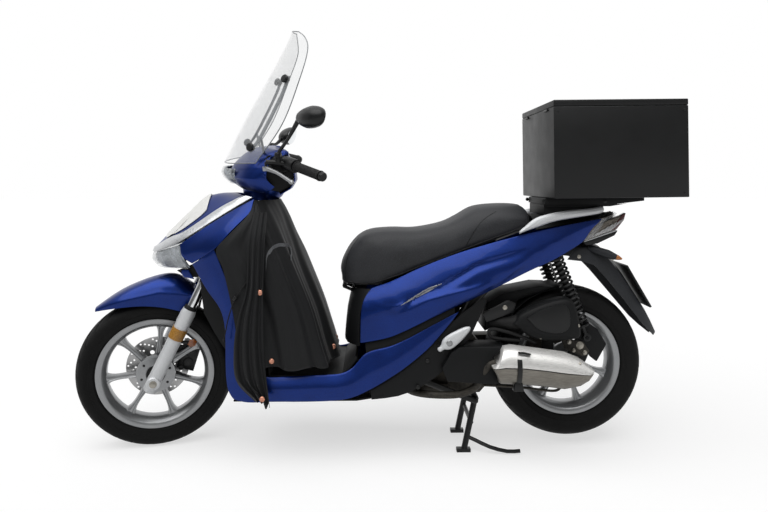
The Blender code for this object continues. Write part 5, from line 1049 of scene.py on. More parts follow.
class SCOOTER_OT_handlebar(bpy.types.Operator):
    """Handlebar covers, head lamp, grips, levers, switches, mirrors and screen"""
    bl_idname = "scooter.handlebar"
    bl_label = "Handlebar"

    def execute(self, context):
        refined("handlebar_cover", "clear_coated_paint", 3)
        refined("instrument_cover", "clear_coated_paint", 3)
        lens = refined("headlamp", "clear_polycarbonate", 2, 0.0006)
        fluted_bowl("head_reflector", lens, (0.010, 0.0, 0.0), (0.97, 0.98, 0.96), "metallised_reflector",
                    "steering", 300)
        refined("handlebar", "moulded_abs", 0, 0.0012)
        for node in ("horn_button", "starter_button"):
            refined(node, "grip_rubber", 0, 0.0012)
        for side, word in SIDES:
            self.grip(side, word)
            self.lever(side, word)
            self.mirror(side, word)
        self.neck()
        self.plugs()
        self.screen()
        return {"FINISHED"}

    def grip(self, side, word):
        """A ribbed rubber grip and its bar end."""
        way = bar_point(1.0, side) - bar_point(0.0, side)
        profile = [(0.0120, 0.082), (0.0185, 0.082), (0.0195, 0.084), (0.0195, 0.087), (0.0165, 0.090)]
        for k in range(18):
            at = 0.094 + k * 0.006
            profile += [(0.0165, at), (0.0158, at + 0.0012), (0.0158, at + 0.0024), (0.0165, at + 0.0036)]
        profile += [(0.0172, 0.206), (0.0180, 0.209), (0.0175, 0.2118), (0.0120, 0.2118)]
        put("ribbed_grip_" + word, turned(profile, bar_point(0.0, side), way, 40, True), "grip_rubber",
            "throttle" if side > 0 else "steering", True, stands_for=["grip_" + word])
        end = [(1e-5, 0.2125), (0.0150, 0.2125), (0.0155, 0.214), (0.0155, 0.224), (0.0130, 0.2275),
               (1e-5, 0.2275)]
        put("bar_end_" + word, turned(end, bar_point(0.0, side), way, 32), "black_enamel", "steering", True)

    def lever(self, side, word):
        """A brake lever: tapered blade, ball end and pivot eye."""
        path = lever_path(side)
        blade = tube(path, [0.0095, 0.0072, 0.0062, 0.0062, 0.0066], 32, 14)
        ball = turned([(1e-5, -0.009), (0.0055, -0.0074), (0.0088, -0.002), (0.0088, 0.002),
                       (0.0055, 0.0074), (1e-5, 0.009)], path[-1],
                      np.array(path[-1]) - np.array(path[-2]), 20)
        up = np.array([-0.10, 0.0, 0.995])
        eye = turned([(0.0048, -0.0075), (0.0115, -0.0075), (0.0120, -0.006), (0.0120, 0.006),
                      (0.0115, 0.0075), (0.0048, 0.0075)], path[0], up, 32, True)
        put("lever_blade_" + word, together([blade, ball, eye]), "silver_wheel_paint", "lever_" + word,
            True, stands_for=["brake_lever_" + word])

    def mirror(self, side, word):
        """A leaf-shaped mirror toed in to the rider, drawn to a point at its straight stem."""
        toe = -side * math.radians(20)
        wide_way = np.array([-math.sin(toe), math.cos(toe), 0.0])
        back_way = np.array([math.cos(toe), math.sin(toe), 0.0])
        up = np.array([0.2, 0.0, 0.98])
        centre = np.array((0.520, -0.335, 1.210) if side < 0 else (0.511, 0.335, 1.120))
        loops = []
        for back, wide, tall in smooth([(-0.036, 0.008, 0.005), (-0.034, 0.022, 0.013),
                                        (-0.024, 0.053, 0.027), (-0.004, 0.0735, 0.0365),
                                        (0.010, 0.0745, 0.0370), (0.016, 0.0720, 0.0345)], 16):
            ring = []
            for a in 2 * math.pi * np.arange(48) / 48:
                c, s = math.cos(a), math.sin(a)
                thin = 1.0 - 0.30 * max(0.0, -side * c)
                ring.append(centre + back_way * back + wide_way * wide * math.copysign(abs(c) ** 0.85, c)
                            + up * tall * thin * math.copysign(abs(s) ** 0.80, s))
            loops.append(ring)
        foot = (bar_point(0.045, side) + np.array(lever_path(side)[0])) / 2
        foot[2] = 1.0728
        root = centre - wide_way * side * 0.058 - back_way * 0.010 - up * 0.012
        stem = tube([foot, foot + np.array([0.004, side * 0.004, 0.018]), (foot + root) / 2, root],
                    [0.0092, 0.0064, 0.0058, 0.0085], 30, 16)
        nut = turned([(1e-5, 0.0), (0.0125, 0.0), (0.0125, 0.011), (0.0095, 0.015), (1e-5, 0.015)], foot,
                     UP, 6)
        put("mirror_shell_" + word, together([loft(loops), stem, nut]), "moulded_abs", "mirror_" + word,
            True, stands_for=["mirror_" + word], angle=50)
        glass = [p + back_way * 0.0012 for p in loops[-1]]
        inner = [centre + (p - centre) * 0.95 + back_way * 0.0018 for p in glass]
        put("mirror_glass_" + word, loft([glass, inner]), "mirror_glass", "mirror_" + word, True)

    def neck(self):
        """The painted collar under the cover, and the dark bracket boots where the levers come out."""
        loops = []
        for z, x, long, wide in smooth([(0.904, 0.388, 0.060, 0.062), (0.914, 0.390, 0.070, 0.070),
                                        (0.938, 0.394, 0.078, 0.082), (0.962, 0.398, 0.080, 0.088)], 12):
            loops.append(loop_round(np.array([x, 0.0, z]), np.array([1.0, 0.0, 0.0]), SIDE, long, wide, 48))
        put("steering_collar", loft(loops), "clear_coated_paint", "steering", True)
        for side, word in SIDES:
            root = bar_point(0.004, side)
            boot = tube([root + np.array([-0.012, -side * 0.030, -0.016]),
                         root + np.array([-0.014, 0.0, -0.012]),
                         root + np.array([-0.012, side * 0.016, -0.008])], [0.036, 0.036, 0.028], 9, 20)
            put("lever_boot_" + word, boot, "moulded_polypropylene", "steering", True, bevel=0.004)

    def plugs(self):
        """Dark inner walls that close the cover's open ends round the bar."""
        wall = [(0.350, 0.985), (0.385, 0.955), (0.440, 0.945), (0.480, 0.968), (0.488, 1.005),
                (0.466, 1.072), (0.400, 1.074), (0.362, 1.040)]
        for side, word in SIDES:
            put("cover_wall_" + word, prism(wall, side * 0.140, side * 0.152), "moulded_polypropylene",
                "steering", True, bevel=0.002)

    def screen(self):
        """The bent screen with its edge, straps and knobs."""
        rows = []
        for mx, mz, ex, half, ez in SCREEN:
            quarter = (mx + (ex - mx) * 0.30, -half * 0.55, mz + (ez - mz) * 0.30)
            rows.append(both_ways([(ex, -half, ez), quarter, (mx, 0.0, mz)]))
        grid = skin(rows, 51, 41)
        put("screen_sheet", shell(grid, 0.004, (0.60, 0.0, 1.2)), "bent_acrylic", "steering", True,
            bevel=0.0012, stands_for=["windscreen"])
        normals = off_grid(grid, (0.60, 0.0, 1.2))
        rim = rim_of(grid) - rim_of(normals) * 0.002
        put("screen_edge", tube(rim, 0.0018, len(rim), 8), "smoked_edge", "steering", True)
        knobs = []
        straps = []
        for v in (6, 34):
            across = grid[20, v + 1] - grid[20, v - 1]
            across /= np.linalg.norm(across)
            line = smooth([grid[u, v] - normals[u, v] * off for u, off in ((20, 0.007), (16, 0.014),
                                                                           (7, 0.014), (3, 0.007))], 30)
            flat = normals[12, v] * 0.0016
            straps.append(loft([[p - across * 0.009 - flat, p + across * 0.009 - flat,
                                 p + across * 0.009 + flat, p - across * 0.009 + flat] for p in line]))
            root = grid[7, v] - normals[7, v] * 0.012
            straps.append(tube([root, (0.387, math.copysign(0.117, v - 20), 1.076)], 0.0045, 8, 12))
            for u in (19, 4):
                spot, way = grid[u, v], normals[u, v]
                head = [(1e-5, 0.0), (0.0140, 0.0), (0.0146, 0.002), (0.0146, 0.007), (0.0118, 0.010),
                        (1e-5, 0.0108)]
                knobs.append(turned(head, spot + way * 0.0003, way, 28))
                knobs.append(turned([(1e-5, 0.0), (0.010, 0.0), (0.010, 0.008), (1e-5, 0.009)],
                                    spot - way * 0.0043, -way, 24))
        put("screen_straps", together(straps), "smoked_edge", "steering", True, bevel=0.0006)
        put("screen_knobs", together(knobs), "moulded_abs", "steering", True)


# Seat stations: x, top z, half width and the share of it that lies flat on top.
SEAT = ((0.678, 0.630, 0.060, 0.60), (0.690, 0.690, 0.104, 0.60), (0.720, 0.744, 0.128, 0.62),
        (0.776, 0.786, 0.140, 0.66), (0.860, 0.796, 0.148, 0.68), (0.950, 0.795, 0.152, 0.68),
        (1.050, 0.814, 0.152, 0.66), (1.110, 0.842, 0.151, 0.62), (1.168, 0.874, 0.150, 0.58),
        (1.260, 0.884, 0.146, 0.56), (1.340, 0.880, 0.132, 0.54), (1.358, 0.866, 0.116, 0.54))


def seat_shape(tuck):
    """The seat's foam, lofted a little under size, from nose to tail."""
    loops = []
    for x, top, half, share in smooth(SEAT, 45):
        low = 0.597 + max(x - 0.813, 0.0) * 0.375 + tuck
        rise = top - tuck - low
        half = half - tuck
        ring = []
        for y, z in smooth([(0.92, 0.0), (1.0, 0.22), (0.97, 0.55), (share + 0.14, 0.88),
                            (share * 0.55, 0.985), (0.0, 1.0)], 14):
            ring.append((y * half, low + rise * z))
        left = [np.array([x, y, z]) for y, z in ring]
        right = [np.array([x, -y, z]) for y, z in ring[-2::-1]]
        loops.append(left + right + [np.array([x, 0.0, low])])
    return loft(loops)


class SCOOTER_OT_seat(bpy.types.Operator):
    """The padded seat, swollen as foam under a cover, with its seams and hinge"""
    bl_idname = "scooter.seat"
    bl_label = "Seat"

    def execute(self, context):
        cap = context.scene.scooter_sizes.swell
        foam = put("seat_foam", seat_shape(cap * 0.7), "embossed_seat_vinyl", "seat", stands_for=["seat"])
        step = foam.modifiers.new("even", "REMESH")
        step.mode = "VOXEL"
        step.voxel_size = 0.006
        applied(foam)
        self.swell(context.scene, foam, cap)
        step = foam.modifiers.new("even", "SMOOTH")
        step.iterations = 6
        step.factor = 0.5
        applied(foam)
        step = foam.modifiers.new("round", "SUBSURF")
        step.levels = 1
        applied(foam)
        finished(foam, "embossed_seat_vinyl", "seat", ["seat"], 180)
        dressed["seat"] = foam
        self.seams()
        hinge = [tube([(0.692, -0.030, 0.585), (0.692, 0.030, 0.585)], 0.0088, 3, 20),
                 prism([(0.686, 0.588), (0.698, 0.588), (0.698, 0.607), (0.686, 0.607)], -0.029, 0.029)]
        put("seat_hinge_lug", together(hinge), "black_enamel", "seat", bevel=0.0008)
        return {"FINISHED"}

    def swell(self, scene, foam, cap):
        """Blow the cover up over a short cloth run, and hold each point to the cap."""
        start = np.array([v.co for v in foam.data.vertices])
        cloth = foam.modifiers.new("cover", "CLOTH")
        cloth.settings.use_pressure = True
        cloth.settings.uniform_pressure_force = 4.0
        cloth.settings.quality = 4
        cloth.settings.effector_weights.gravity = 0.0
        cloth.point_cache.frame_start = 1
        cloth.point_cache.frame_end = SWELL_FRAMES
        for number in range(1, SWELL_FRAMES + 1):
            scene.frame_set(number)
        applied(foam)
        scene.frame_set(1)
        ends = np.array([v.co for v in foam.data.vertices])
        moved = ends - start
        far = np.linalg.norm(moved, axis=1, keepdims=True)
        held = start + moved * np.minimum(1.0, cap / np.maximum(far, 1e-9))
        for vertex, spot in zip(foam.data.vertices, held):
            vertex.co = spot

    def seams(self):
        """Sewn welts: across the nose, and where the rider's part meets the pillion's."""
        for side, word in SIDES:
            nose = smooth([(0.745, 0.764), (0.722, 0.735), (0.706, 0.700), (0.698, 0.655),
                           (0.700, 0.625)], 24)
            step = smooth([(1.232, 0.860), (1.190, 0.836), (1.160, 0.806), (1.138, 0.770),
                           (1.122, 0.742)], 24)
            low = smooth([(0.712, 0.612), (0.780, 0.608), (0.860, 0.630), (0.980, 0.676), (1.120, 0.730),
                          (1.250, 0.778), (1.330, 0.806)], 40)
            shapes = []
            for line, size in ((nose, 0.0012), (step, 0.0012), (low, 0.0016)):
                spots = pressed_on("seat", line, side, 0.0002)
                shapes.append(tube(spots, size, len(spots) * 2, 8))
            put("seat_seams_" + word, together(shapes), "moulded_abs", "seat")


# Apron rows: z, rear x, half width and front x.
APRON_ROWS = ((0.901, 0.462, 0.152, 0.384), (0.850, 0.490, 0.190, 0.366), (0.790, 0.514, 0.214, 0.312),
              (0.735, 0.537, 0.224, 0.268), (0.666, 0.566, 0.231, 0.294), (0.530, 0.622, 0.236, 0.326),
              (0.420, 0.656, 0.238, 0.344), (0.345, 0.680, 0.238, 0.362))


class SCOOTER_OT_apron(bpy.types.Operator):
    """The cloth leg apron with its folds, flap, press studs, tab and hem"""
    bl_idname = "scooter.apron"
    bl_label = "Apron"

    def execute(self, context):
        fold = context.scene.scooter_sizes.fold
        rows = []
        for z, rear, half, front in APRON_ROWS:
            rear -= 0.008
            corner = rear - 0.060
            rows.append(both_ways([(front, -half * 0.985, z),
                                   (front + (corner - front) * 0.5, -half * 1.01, z), (corner, -half, z),
                                   (rear - 0.022, -half * 0.62, z), (rear, 0.0, z)]))
        grid = skin(rows, 71, 241)
        normals = off_grid(grid, (0.40, 0.0, 0.60))
        u = np.linspace(0, 1, 71)[:, None]
        v = np.linspace(0, 1, 241)[None, :]
        around = 2 * math.pi * (v + 0.012 * np.sin(5 * u + 9 * v))
        hold = np.clip(np.minimum(v, 1 - v) * 14, 0, 1)
        pleat = np.sin(around * 7) * 0.55
        pleat = pleat + np.sin(around * 13 + 1.3 + 1.1 * u) * 0.30 + np.sin(around * 23 + 0.4) * 0.15
        sharp = np.sign(pleat) * np.abs(pleat) ** 0.8
        rumple = 0.10 * np.sin(17 * u + around * 3) * np.sin(around * 5 + 2 * u)
        wave = (sharp * (0.12 + 0.88 * u ** 0.8) + rumple) * hold * fold * 0.62
        grid = grid + normals * wave[:, :, None]
        grid[:, :, 2] -= (0.006 * np.sin(around * 7 + 0.8) * u ** 3) * hold
        cloth = put("apron_cloth", shell(grid, 0.0016, (0.40, 0.0, 0.60)), "coated_nylon_cloth",
                    "chassis", stands_for=["leg_apron"], angle=60)
        hem = put("apron_hem", tube(grid[-1, ::2] - np.array([0.0, 0.0, 0.001]), 0.0022, 300, 8),
                  "coated_nylon_cloth", "chassis")
        dressed["apron"] = cloth
        self.flap(fold)
        self.studs()
        return {"FINISHED"}

    def flap(self, fold):
        """A loose strip of the apron that hangs down over its front edge on both sides."""
        for side, word in SIDES:
            rows = []
            for z, front, rear in ((0.862, 0.392, 0.436), (0.780, 0.380, 0.436), (0.690, 0.378, 0.434),
                                   (0.605, 0.374, 0.432), (0.505, 0.346, 0.432), (0.404, 0.334, 0.434),
                                   (0.304, 0.342, 0.444), (0.231, 0.404, 0.452)):
                y = -np.interp(z, (0.222, 0.345, 0.530, 0.666, 0.778, 0.862),
                               (0.240, 0.247, 0.246, 0.243, 0.232, 0.196)) - 0.006
                rows.append([(front, y + 0.004, z), ((front + rear) / 2, y - 0.004, z), (rear, y, z)])
            grid = skin(rows, 41, 33)
            u = np.linspace(0, 1, 41)[:, None]
            v = np.linspace(0, 1, 33)[None, :]
            ripple = np.sin(v * 2 * math.pi * 3.2 + 0.9 * np.sin(4 * u))
            grid[:, :, 1] -= fold * 0.46 * (0.2 + 0.8 * u) * ripple + 0.005
            grid[:, :, 2] += (0.014 * np.sin(v * math.pi * 1.5) + 0.010 * np.sin(v * math.pi * 7)) * u ** 4
            shape = shell(grid, 0.0016, (0.42, 0.0, 0.55))
            strip = put("apron_flap_" + word, on_side(shape, side), "coated_nylon_cloth", "chassis",
                        angle=60)
            dressed["flap_" + word] = strip

    def studs(self):
        """Press studs and the webbing tab, on both sides of the apron."""
        for side, word in SIDES:
            heads = []
            for base, x, z, lift in (("apron", 0.456, 0.366, 0.0005), ("apron", 0.655, 0.378, 0.0005),
                                     ("flap_" + word, 0.421, 0.599, 0.0035),
                                     ("flap_" + word, 0.430, 0.250, 0.0035)):
                spot = pressed_on(base, [(x, z)], side, lift)[0]
                ring = [(1e-5, -0.001), (0.0088, -0.001), (0.0088, 0.0022), (0.0072, 0.0034),
                        (0.0045, 0.0022), (1e-5, 0.0026)]
                heads.append(turned(ring, spot, SIDE * side, 28))
            put("press_studs_" + word, together(heads), "copper_plate", "chassis")
            line = smooth([(0.438, 0.676), (0.444, 0.722), (0.472, 0.746), (0.502, 0.740),
                           (0.515, 0.699)], 30)
            spots = pressed_on("apron", line, side, 0.001)
            grid = []
            for share in (-1.0, -0.4, 0.4, 1.0):
                grid.append([spot + np.array([0.0, 0.0, 0.0095 * share]) for spot in spots])
            put("apron_tab_" + word, shell(np.array(grid), 0.0020, (0.45, 0.0, 0.7)), "grey_webbing",
                "chassis")


def tilted(points):
    """Points of the box turned about its front lower edge by its pitch."""
    c, s = math.cos(BOX_PITCH), math.sin(BOX_PITCH)
    return [(1.409 + x * c - z * s, y, 0.908 + x * s + z * c) for x, y, z in points]


class SCOOTER_OT_load_box(bpy.types.Operator):
    """The delivery box, its lid, screws, hinge pins and rack"""
    bl_idname = "scooter.load_box"
    bl_label = "Load box"

    def execute(self, context):
        refined("box_body", "rolled_box_paint", 0, 0.005)
        refined("box_lid", "rolled_box_paint", 0, 0.005)
        screws = []
        for x in (0.014, 0.446):
            for z in (0.016, 0.297):
                for side in (-1, 1):
                    spot = np.array(tilted([(x, side * 0.2300, z)])[0])
                    screws.append(stud(spot, SIDE * side, 0.0038, 0.0014))
        put("box_screws", together(screws), "black_enamel", "chassis")
        leaves = []
        for y in (-0.14, 0.14):
            ends = tilted([(-0.003, y - 0.022, 0.3072), (-0.003, y + 0.022, 0.3072)])
            leaves.append(tube(ends, 0.0035, 3, 12))
        put("box_hinge_pins", together(leaves), "black_enamel", "chassis")
        refined("carrier_rack", "moulded_polypropylene", 0, 0.0016)
        ribs = []
        for y in (-0.112, -0.060, 0.0, 0.060, 0.112):
            ribs.append(prism([(1.410, 0.8845), (1.410, 0.876), (1.640, 0.878), (1.700, 0.888),
                               (1.640, 0.8845)], y - 0.003, y + 0.003))
        put("rack_ribs", together(ribs), "moulded_polypropylene", "chassis", bevel=0.0006)
        well = [(1.405, 0.8835), (1.620, 0.8835), (1.620, 0.862), (1.450, 0.852), (1.405, 0.846)]
        put("rack_well", prism(well, -0.105, 0.105), "moulded_polypropylene", "chassis", bevel=0.003)
        bolts = [hex_bolt(np.array([x, -0.120, 0.896]), -SIDE, 0.005, 0.004) for x in (1.40, 1.62)]
        bolts += [hex_bolt(np.array([x, 0.120, 0.896]), SIDE, 0.005, 0.004) for x in (1.40, 1.62)]
        put("rack_bolts", together(bolts), "black_enamel", "chassis")
        return {"FINISHED"}


class SCOOTER_OT_tail(bpy.types.Operator):
    """Grab rail, rear mudguard, indicators and bare plate"""
    bl_idname = "scooter.tail"
    bl_label = "Tail"

    def execute(self, context):
        refined("grab_rail", "silver_powder_coat", 2, 0.0)
        refined("rear_mudguard", "sun_faded_polypropylene", 0, 0.0010)
        plate = [(1.709, 0.660), (1.715, 0.664), (1.803, 0.514), (1.797, 0.510)]
        put("bare_rear_plate", prism(plate, -0.085, 0.085), "moulded_abs", "chassis", bevel=0.0012)
        tips = []
        for side in (-1, 1):
            way = np.array([0.84, side * 0.46, -0.29])
            root = np.array([1.573, side * 0.0785, 0.7275])
            loops = [loop_round(root + way * reach, *square_to(way), tall, wide, 20)
                     for reach, tall, wide in ((0.1030, 0.0096, 0.0086), (0.1080, 0.0085, 0.0078),
                                               (0.1180, 0.0046, 0.0050), (0.1220, 0.0016, 0.0020))]
            tips.append(loft(loops))
        put("indicator_lenses", together(tips), "amber_acrylic", "chassis")
        bolts = [hex_bolt(np.array([x, side * 0.085, z]), SIDE * side, 0.005, 0.004)
                 for x, z in ((1.538, 0.695), (1.660, 0.688)) for side in (-1, 1)]
        put("mudguard_bolts", together(bolts), "plated_steel", "chassis")
        return {"FINISHED"}


def can_centre(x):
    """A point on the muffler's slanting middle line."""
    return np.array([x, -0.200, 0.349 - (x - 1.192) * 0.110])


def muffler_shape(half):
    """Half the muffler can, split off for painted shade below; folded at its side, its front cut at a
    slant.
    """
    upper = smooth([(0.0, 1.0), (-0.45, 0.93), (-0.80, 0.66), (-0.965, 0.32), (-1.0, 0.06)], 9)
    lower = smooth([(-0.975, 0.0), (-0.93, -0.36), (-0.74, -0.74), (-0.42, -0.96), (0.0, -1.0)], 9)
    far = smooth([(0.0, -1.0), (0.60, -0.82), (0.95, -0.35), (0.97, 0.03), (0.95, 0.35), (0.60, 0.82),
                  (0.0, 1.0)], 15)[1:-1]
    ring = np.vstack([upper, far[7:]]) if half == "upper" else np.vstack([lower, far[:6]])
    loops = []
    for share, swell in ((0.0, 0.25), (0.0, 0.84), (0.012, 0.94), (0.03, 1.0), (0.12, 1.0), (0.3, 1.0),
                         (0.5, 1.0), (0.7, 1.0), (0.86, 0.99), (0.94, 0.95), (0.975, 0.88), (0.992, 0.76),
                         (1.0, 0.60), (1.0, 0.20)):
        loop = []
        for across, up in ring:
            front = 1.195 + (0.034 * up if up > 0 else -0.024 * up)
            x = front + (1.541 - front) * share
            top = np.interp(x, (1.188, 1.210, 1.232, 1.256, 1.474, 1.505, 1.525, 1.541),
                            (0.362, 0.388, 0.404, 0.4115, 0.381, 0.360, 0.346, 0.334))
            low = np.interp(x, (1.188, 1.220, 1.348, 1.452, 1.500, 1.524, 1.541),
                            (0.318, 0.281, 0.274, 0.260, 0.272, 0.289, 0.322))
            middle = (top + low) / 2
            loop.append(np.array([x, -0.200 + 0.062 * across * swell,
                                  middle + (top - low) / 2 * up * swell]))
        loops.append(loop)
    return loft(loops)


class SCOOTER_OT_engine(bpy.types.Operator):
    """Engine, transmission, swing arm, exhaust, air box and their fittings"""
    bl_idname = "scooter.engine"
    bl_label = "Engine"

    def execute(self, context):
        refined("engine_block", "raw_casting", 0, 0.004)
        refined("transmission_case", "raw_casting", 0, 0.005)
        refined("swing_arm", "moulded_polypropylene", 0, 0.0015)
        self.exhaust()
        self.air_box()
        return {"FINISHED"}

    def exhaust(self):
        """Down pipe, muffler can with its clip and rivets, side cover and sump."""
        pipe = tube([(0.905, -0.040, 0.238), (0.925, -0.080, 0.218), (0.985, -0.154, 0.226),
                     (1.090, -0.168, 0.230), (1.150, -0.180, 0.262), (1.186, -0.198, 0.332),
                     (1.215, -0.200, 0.349)], 0.013, 80, 20)
        # The can's upper half is painted pale as lit steel, its underside darker as painted shade.
        put("muffler_can", muffler_shape("upper"), "brushed_stainless", "swing_unit",
            stands_for=["exhaust"], angle=24)
        put("muffler_underside", muffler_shape("lower"), "stainless_painted_shade", "swing_unit",
            stands_for=["exhaust"], angle=24)
        put("down_pipe", pipe, "raw_casting", "swing_unit")
        # A dark strip set into the can stands for the slot's shadowed inside: painted shade.
        slot = [(1.280, 0.3965), (1.300, 0.3955), (1.322, 0.3905), (1.322, 0.3870), (1.298, 0.3915),
                (1.280, 0.3930)]
        put("muffler_slot", prism(slot, -0.2585, -0.2460), "moulded_abs", "swing_unit")
        strap = []
        for x in (1.276, 1.292):
            centre = can_centre(x)
            angles = np.radians(np.linspace(150, 262, 22))
            strap.append([[centre + SIDE * math.cos(a) * r + UP * math.sin(a) * r * 1.04 for a in angles]
                          for r in (0.0625, 0.0665)])
        loops = [strap[0][0], strap[0][1], strap[1][1], strap[1][0]]
        points = [p for loop in loops for p in loop]
        n = len(loops[0])
        faces = []
        for k in range(4):
            for i in range(n - 1):
                a, b = k * n + i, ((k + 1) % 4) * n + i
                faces.append((a, a + 1, b + 1, b))
        faces += [(0, n, 2 * n, 3 * n), (n - 1, 4 * n - 1, 3 * n - 1, 2 * n - 1)]
        put("muffler_clip", (points, faces), "black_enamel", "swing_unit", bevel=0.0008)
        foot = prism([(1.272, 0.292), (1.296, 0.292), (1.302, 0.262), (1.266, 0.262)], -0.246, -0.222)
        put("muffler_clip_foot", foot, "black_enamel", "swing_unit", bevel=0.002)
        rivets = []
        for x, dz in ((1.245, 0.046), (1.490, 0.040), (1.500, 0.012)):
            centre = can_centre(x)
            y = -math.sqrt(max(0.0618 ** 2 - (dz / 1.04) ** 2, 1e-6)) * (0.96 if x > 1.4 else 1.0)
            rivets.append(stud(centre + np.array([0.0, y, dz]), (0.0, y, dz), 0.0042, 0.0016))
        put("muffler_rivets", together(rivets), "plated_steel", "swing_unit")
        cover = [(1.030, 0.330), (1.062, 0.384), (1.090, 0.402), (1.246, 0.404), (1.252, 0.398),
                 (1.206, 0.366), (1.224, 0.282), (1.216, 0.272), (1.050, 0.284)]
        put("engine_side_cover", prism(cover, -0.205, -0.1035), "moulded_polypropylene", "swing_unit",
            bevel=0.010)
        self.rear_fittings()
        sump = [(0.872, 0.262), (0.980, 0.252), (1.060, 0.250), (1.060, 0.222), (0.960, 0.226),
                (0.880, 0.236)]
        put("engine_sump", prism(sump, -0.120, 0.092), "raw_casting", "swing_unit", bevel=0.006)

    def rear_fittings(self):
        """Brackets, axle lug, hose, hanger, inner guard and drain pipe round the muffler."""
        bracket = [(1.535, 0.484), (1.602, 0.435), (1.634, 0.382), (1.598, 0.319), (1.573, 0.339),
                   (1.530, 0.407)]
        put("shock_foot_bracket", prism(bracket, -0.100, -0.086), "moulded_polypropylene", "swing_unit",
            bevel=0.006)
        lug = [(1.462, 0.411), (1.544, 0.396), (1.566, 0.361), (1.544, 0.343), (1.480, 0.368)]
        put("axle_lug", prism(lug, -0.118, -0.104), "raw_casting", "swing_unit", bevel=0.004)
        fixings = [hex_bolt(np.array([x, -0.118, z]), -SIDE, size, 0.008)
                   for x, z, size in ((1.492, 0.396, 0.006), (1.530, 0.384, 0.010), (1.548, 0.358, 0.006),
                                      (1.508, 0.366, 0.005))]
        put("axle_fixings", together(fixings), "plated_steel", "swing_unit")
        hose = [(1.360, -0.165, 0.406), (1.305, -0.170, 0.431), (1.235, -0.172, 0.452),
                (1.204, -0.172, 0.455), (1.197, -0.172, 0.438), (1.218, -0.170, 0.424),
                (1.305, -0.165, 0.414)]
        put("breather_hose", tube(hose, 0.006, 60, 14), "grip_rubber", "swing_unit")
        hanger = [(1.176, 0.507), (1.264, 0.552), (1.295, 0.541), (1.285, 0.510), (1.239, 0.493),
                  (1.190, 0.475)]
        put("muffler_hanger", prism(hanger, -0.158, -0.148), "black_enamel", "swing_unit", bevel=0.003)
        put("hanger_bolt", hex_bolt(np.array([1.255, -0.158, 0.527]), -SIDE, 0.006, 0.005),
            "plated_steel", "swing_unit")
        guard = [(1.197, 0.426), (1.205, 0.530), (1.262, 0.562), (1.395, 0.588), (1.452, 0.586),
                 (1.413, 0.572), (1.323, 0.541), (1.251, 0.462)]
        put("hugger_front", prism(guard, -0.084, 0.084), "moulded_polypropylene", "swing_unit", bevel=0.006)
        drain = [(1.171, -0.190, 0.268), (1.287, -0.200, 0.264), (1.408, -0.200, 0.250),
                 (1.440, -0.200, 0.262)]
        put("drain_pipe", tube(drain, 0.0045, 40, 12), "raw_casting", "swing_unit")

    def air_box(self):
        """The stepped air box with its panel, duct and screws."""
        side = [(1.272, 0.474), (1.312, 0.517), (1.425, 0.560), (1.488, 0.552), (1.516, 0.448),
                (1.490, 0.420), (1.362, 0.420)]
        middle = np.mean(side, axis=0)
        ring = smooth(side + side[:1], 57)[:-1]
        loops = []
        for y, share in ((-0.140, 0.97), (-0.1415, 0.985), (-0.150, 0.995), (-0.152, 0.975),
                         (-0.154, 0.975), (-0.156, 0.995), (-0.174, 0.99), (-0.186, 0.95), (-0.193, 0.88),
                         (-0.194, 0.76), (-0.196, 0.72), (-0.198, 0.66), (-0.1975, 0.30), (-0.197, 0.05)):
            loops.append([np.array([middle[0] + (x - middle[0]) * share, y,
                                    middle[1] + (z - middle[1]) * share]) for x, z in ring])
        put("air_box_moulding", loft(loops), "moulded_polypropylene", "swing_unit",
            stands_for=["air_box"], angle=60)
        panel = smooth([(1.322, 0.499), (1.384, 0.533), (1.457, 0.540), (1.470, 0.474), (1.436, 0.447),
                        (1.367, 0.458), (1.322, 0.499)], 31)[:-1]
        put("air_box_panel", prism(panel, -0.2015, -0.190), "moulded_abs", "swing_unit", bevel=0.002)
        duct = tube([(1.215, -0.120, 0.470), (1.262, -0.150, 0.472), (1.300, -0.162, 0.478)],
                    [0.022, 0.020, 0.026], 20, 24)
        put("intake_duct", duct, "grip_rubber", "swing_unit")
        bolts = [stud(np.array([x, -0.190, z]), -SIDE, 0.0055, 0.003) for x, z in ((1.300, 0.482),
                                                                                   (1.502, 0.470),
                                                                                   (1.372, 0.430))]
        put("air_box_screws", together(bolts), "plated_steel", "swing_unit")


class SCOOTER_OT_suspension(bpy.types.Operator):
    """Rear shocks and their springs"""
    bl_idname = "scooter.suspension"
    bl_label = "Suspension"

    def execute(self, context):
        top = np.array([1.435, 0.0, 0.722])
        low = np.array([1.556, 0.0, 0.412])
        length = float(np.linalg.norm(low - top))
        down = (low - top) / length
        first, second = square_to(down)
        wire, turns = 0.0042, 14
        for side, word in SIDES:
            y = SIDE * side * SHOCK_HALF
            refined("shock_body_" + word, "black_enamel", 0, 0.001)
            refined("shock_rod_" + word, "black_enamel", 0, 0.001)
            start, stop = 0.030 + 0.007 + wire + 0.0004, length - 0.050 - wire - 0.0004
            coil = []
            for k in range(turns * 24 + 1):
                angle = 2 * math.pi * k / 24
                coil.append(top + y + down * (start + (stop - start) * k / (turns * 24))
                            + (first * math.cos(angle) + second * math.sin(angle)) * 0.0225)
            spring = put("coil_" + word, tube(coil, wire, len(coil), 12), "black_enamel", "shock_upper",
                         stands_for=["spring_" + word])
            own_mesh(spring)
        return {"FINISHED"}


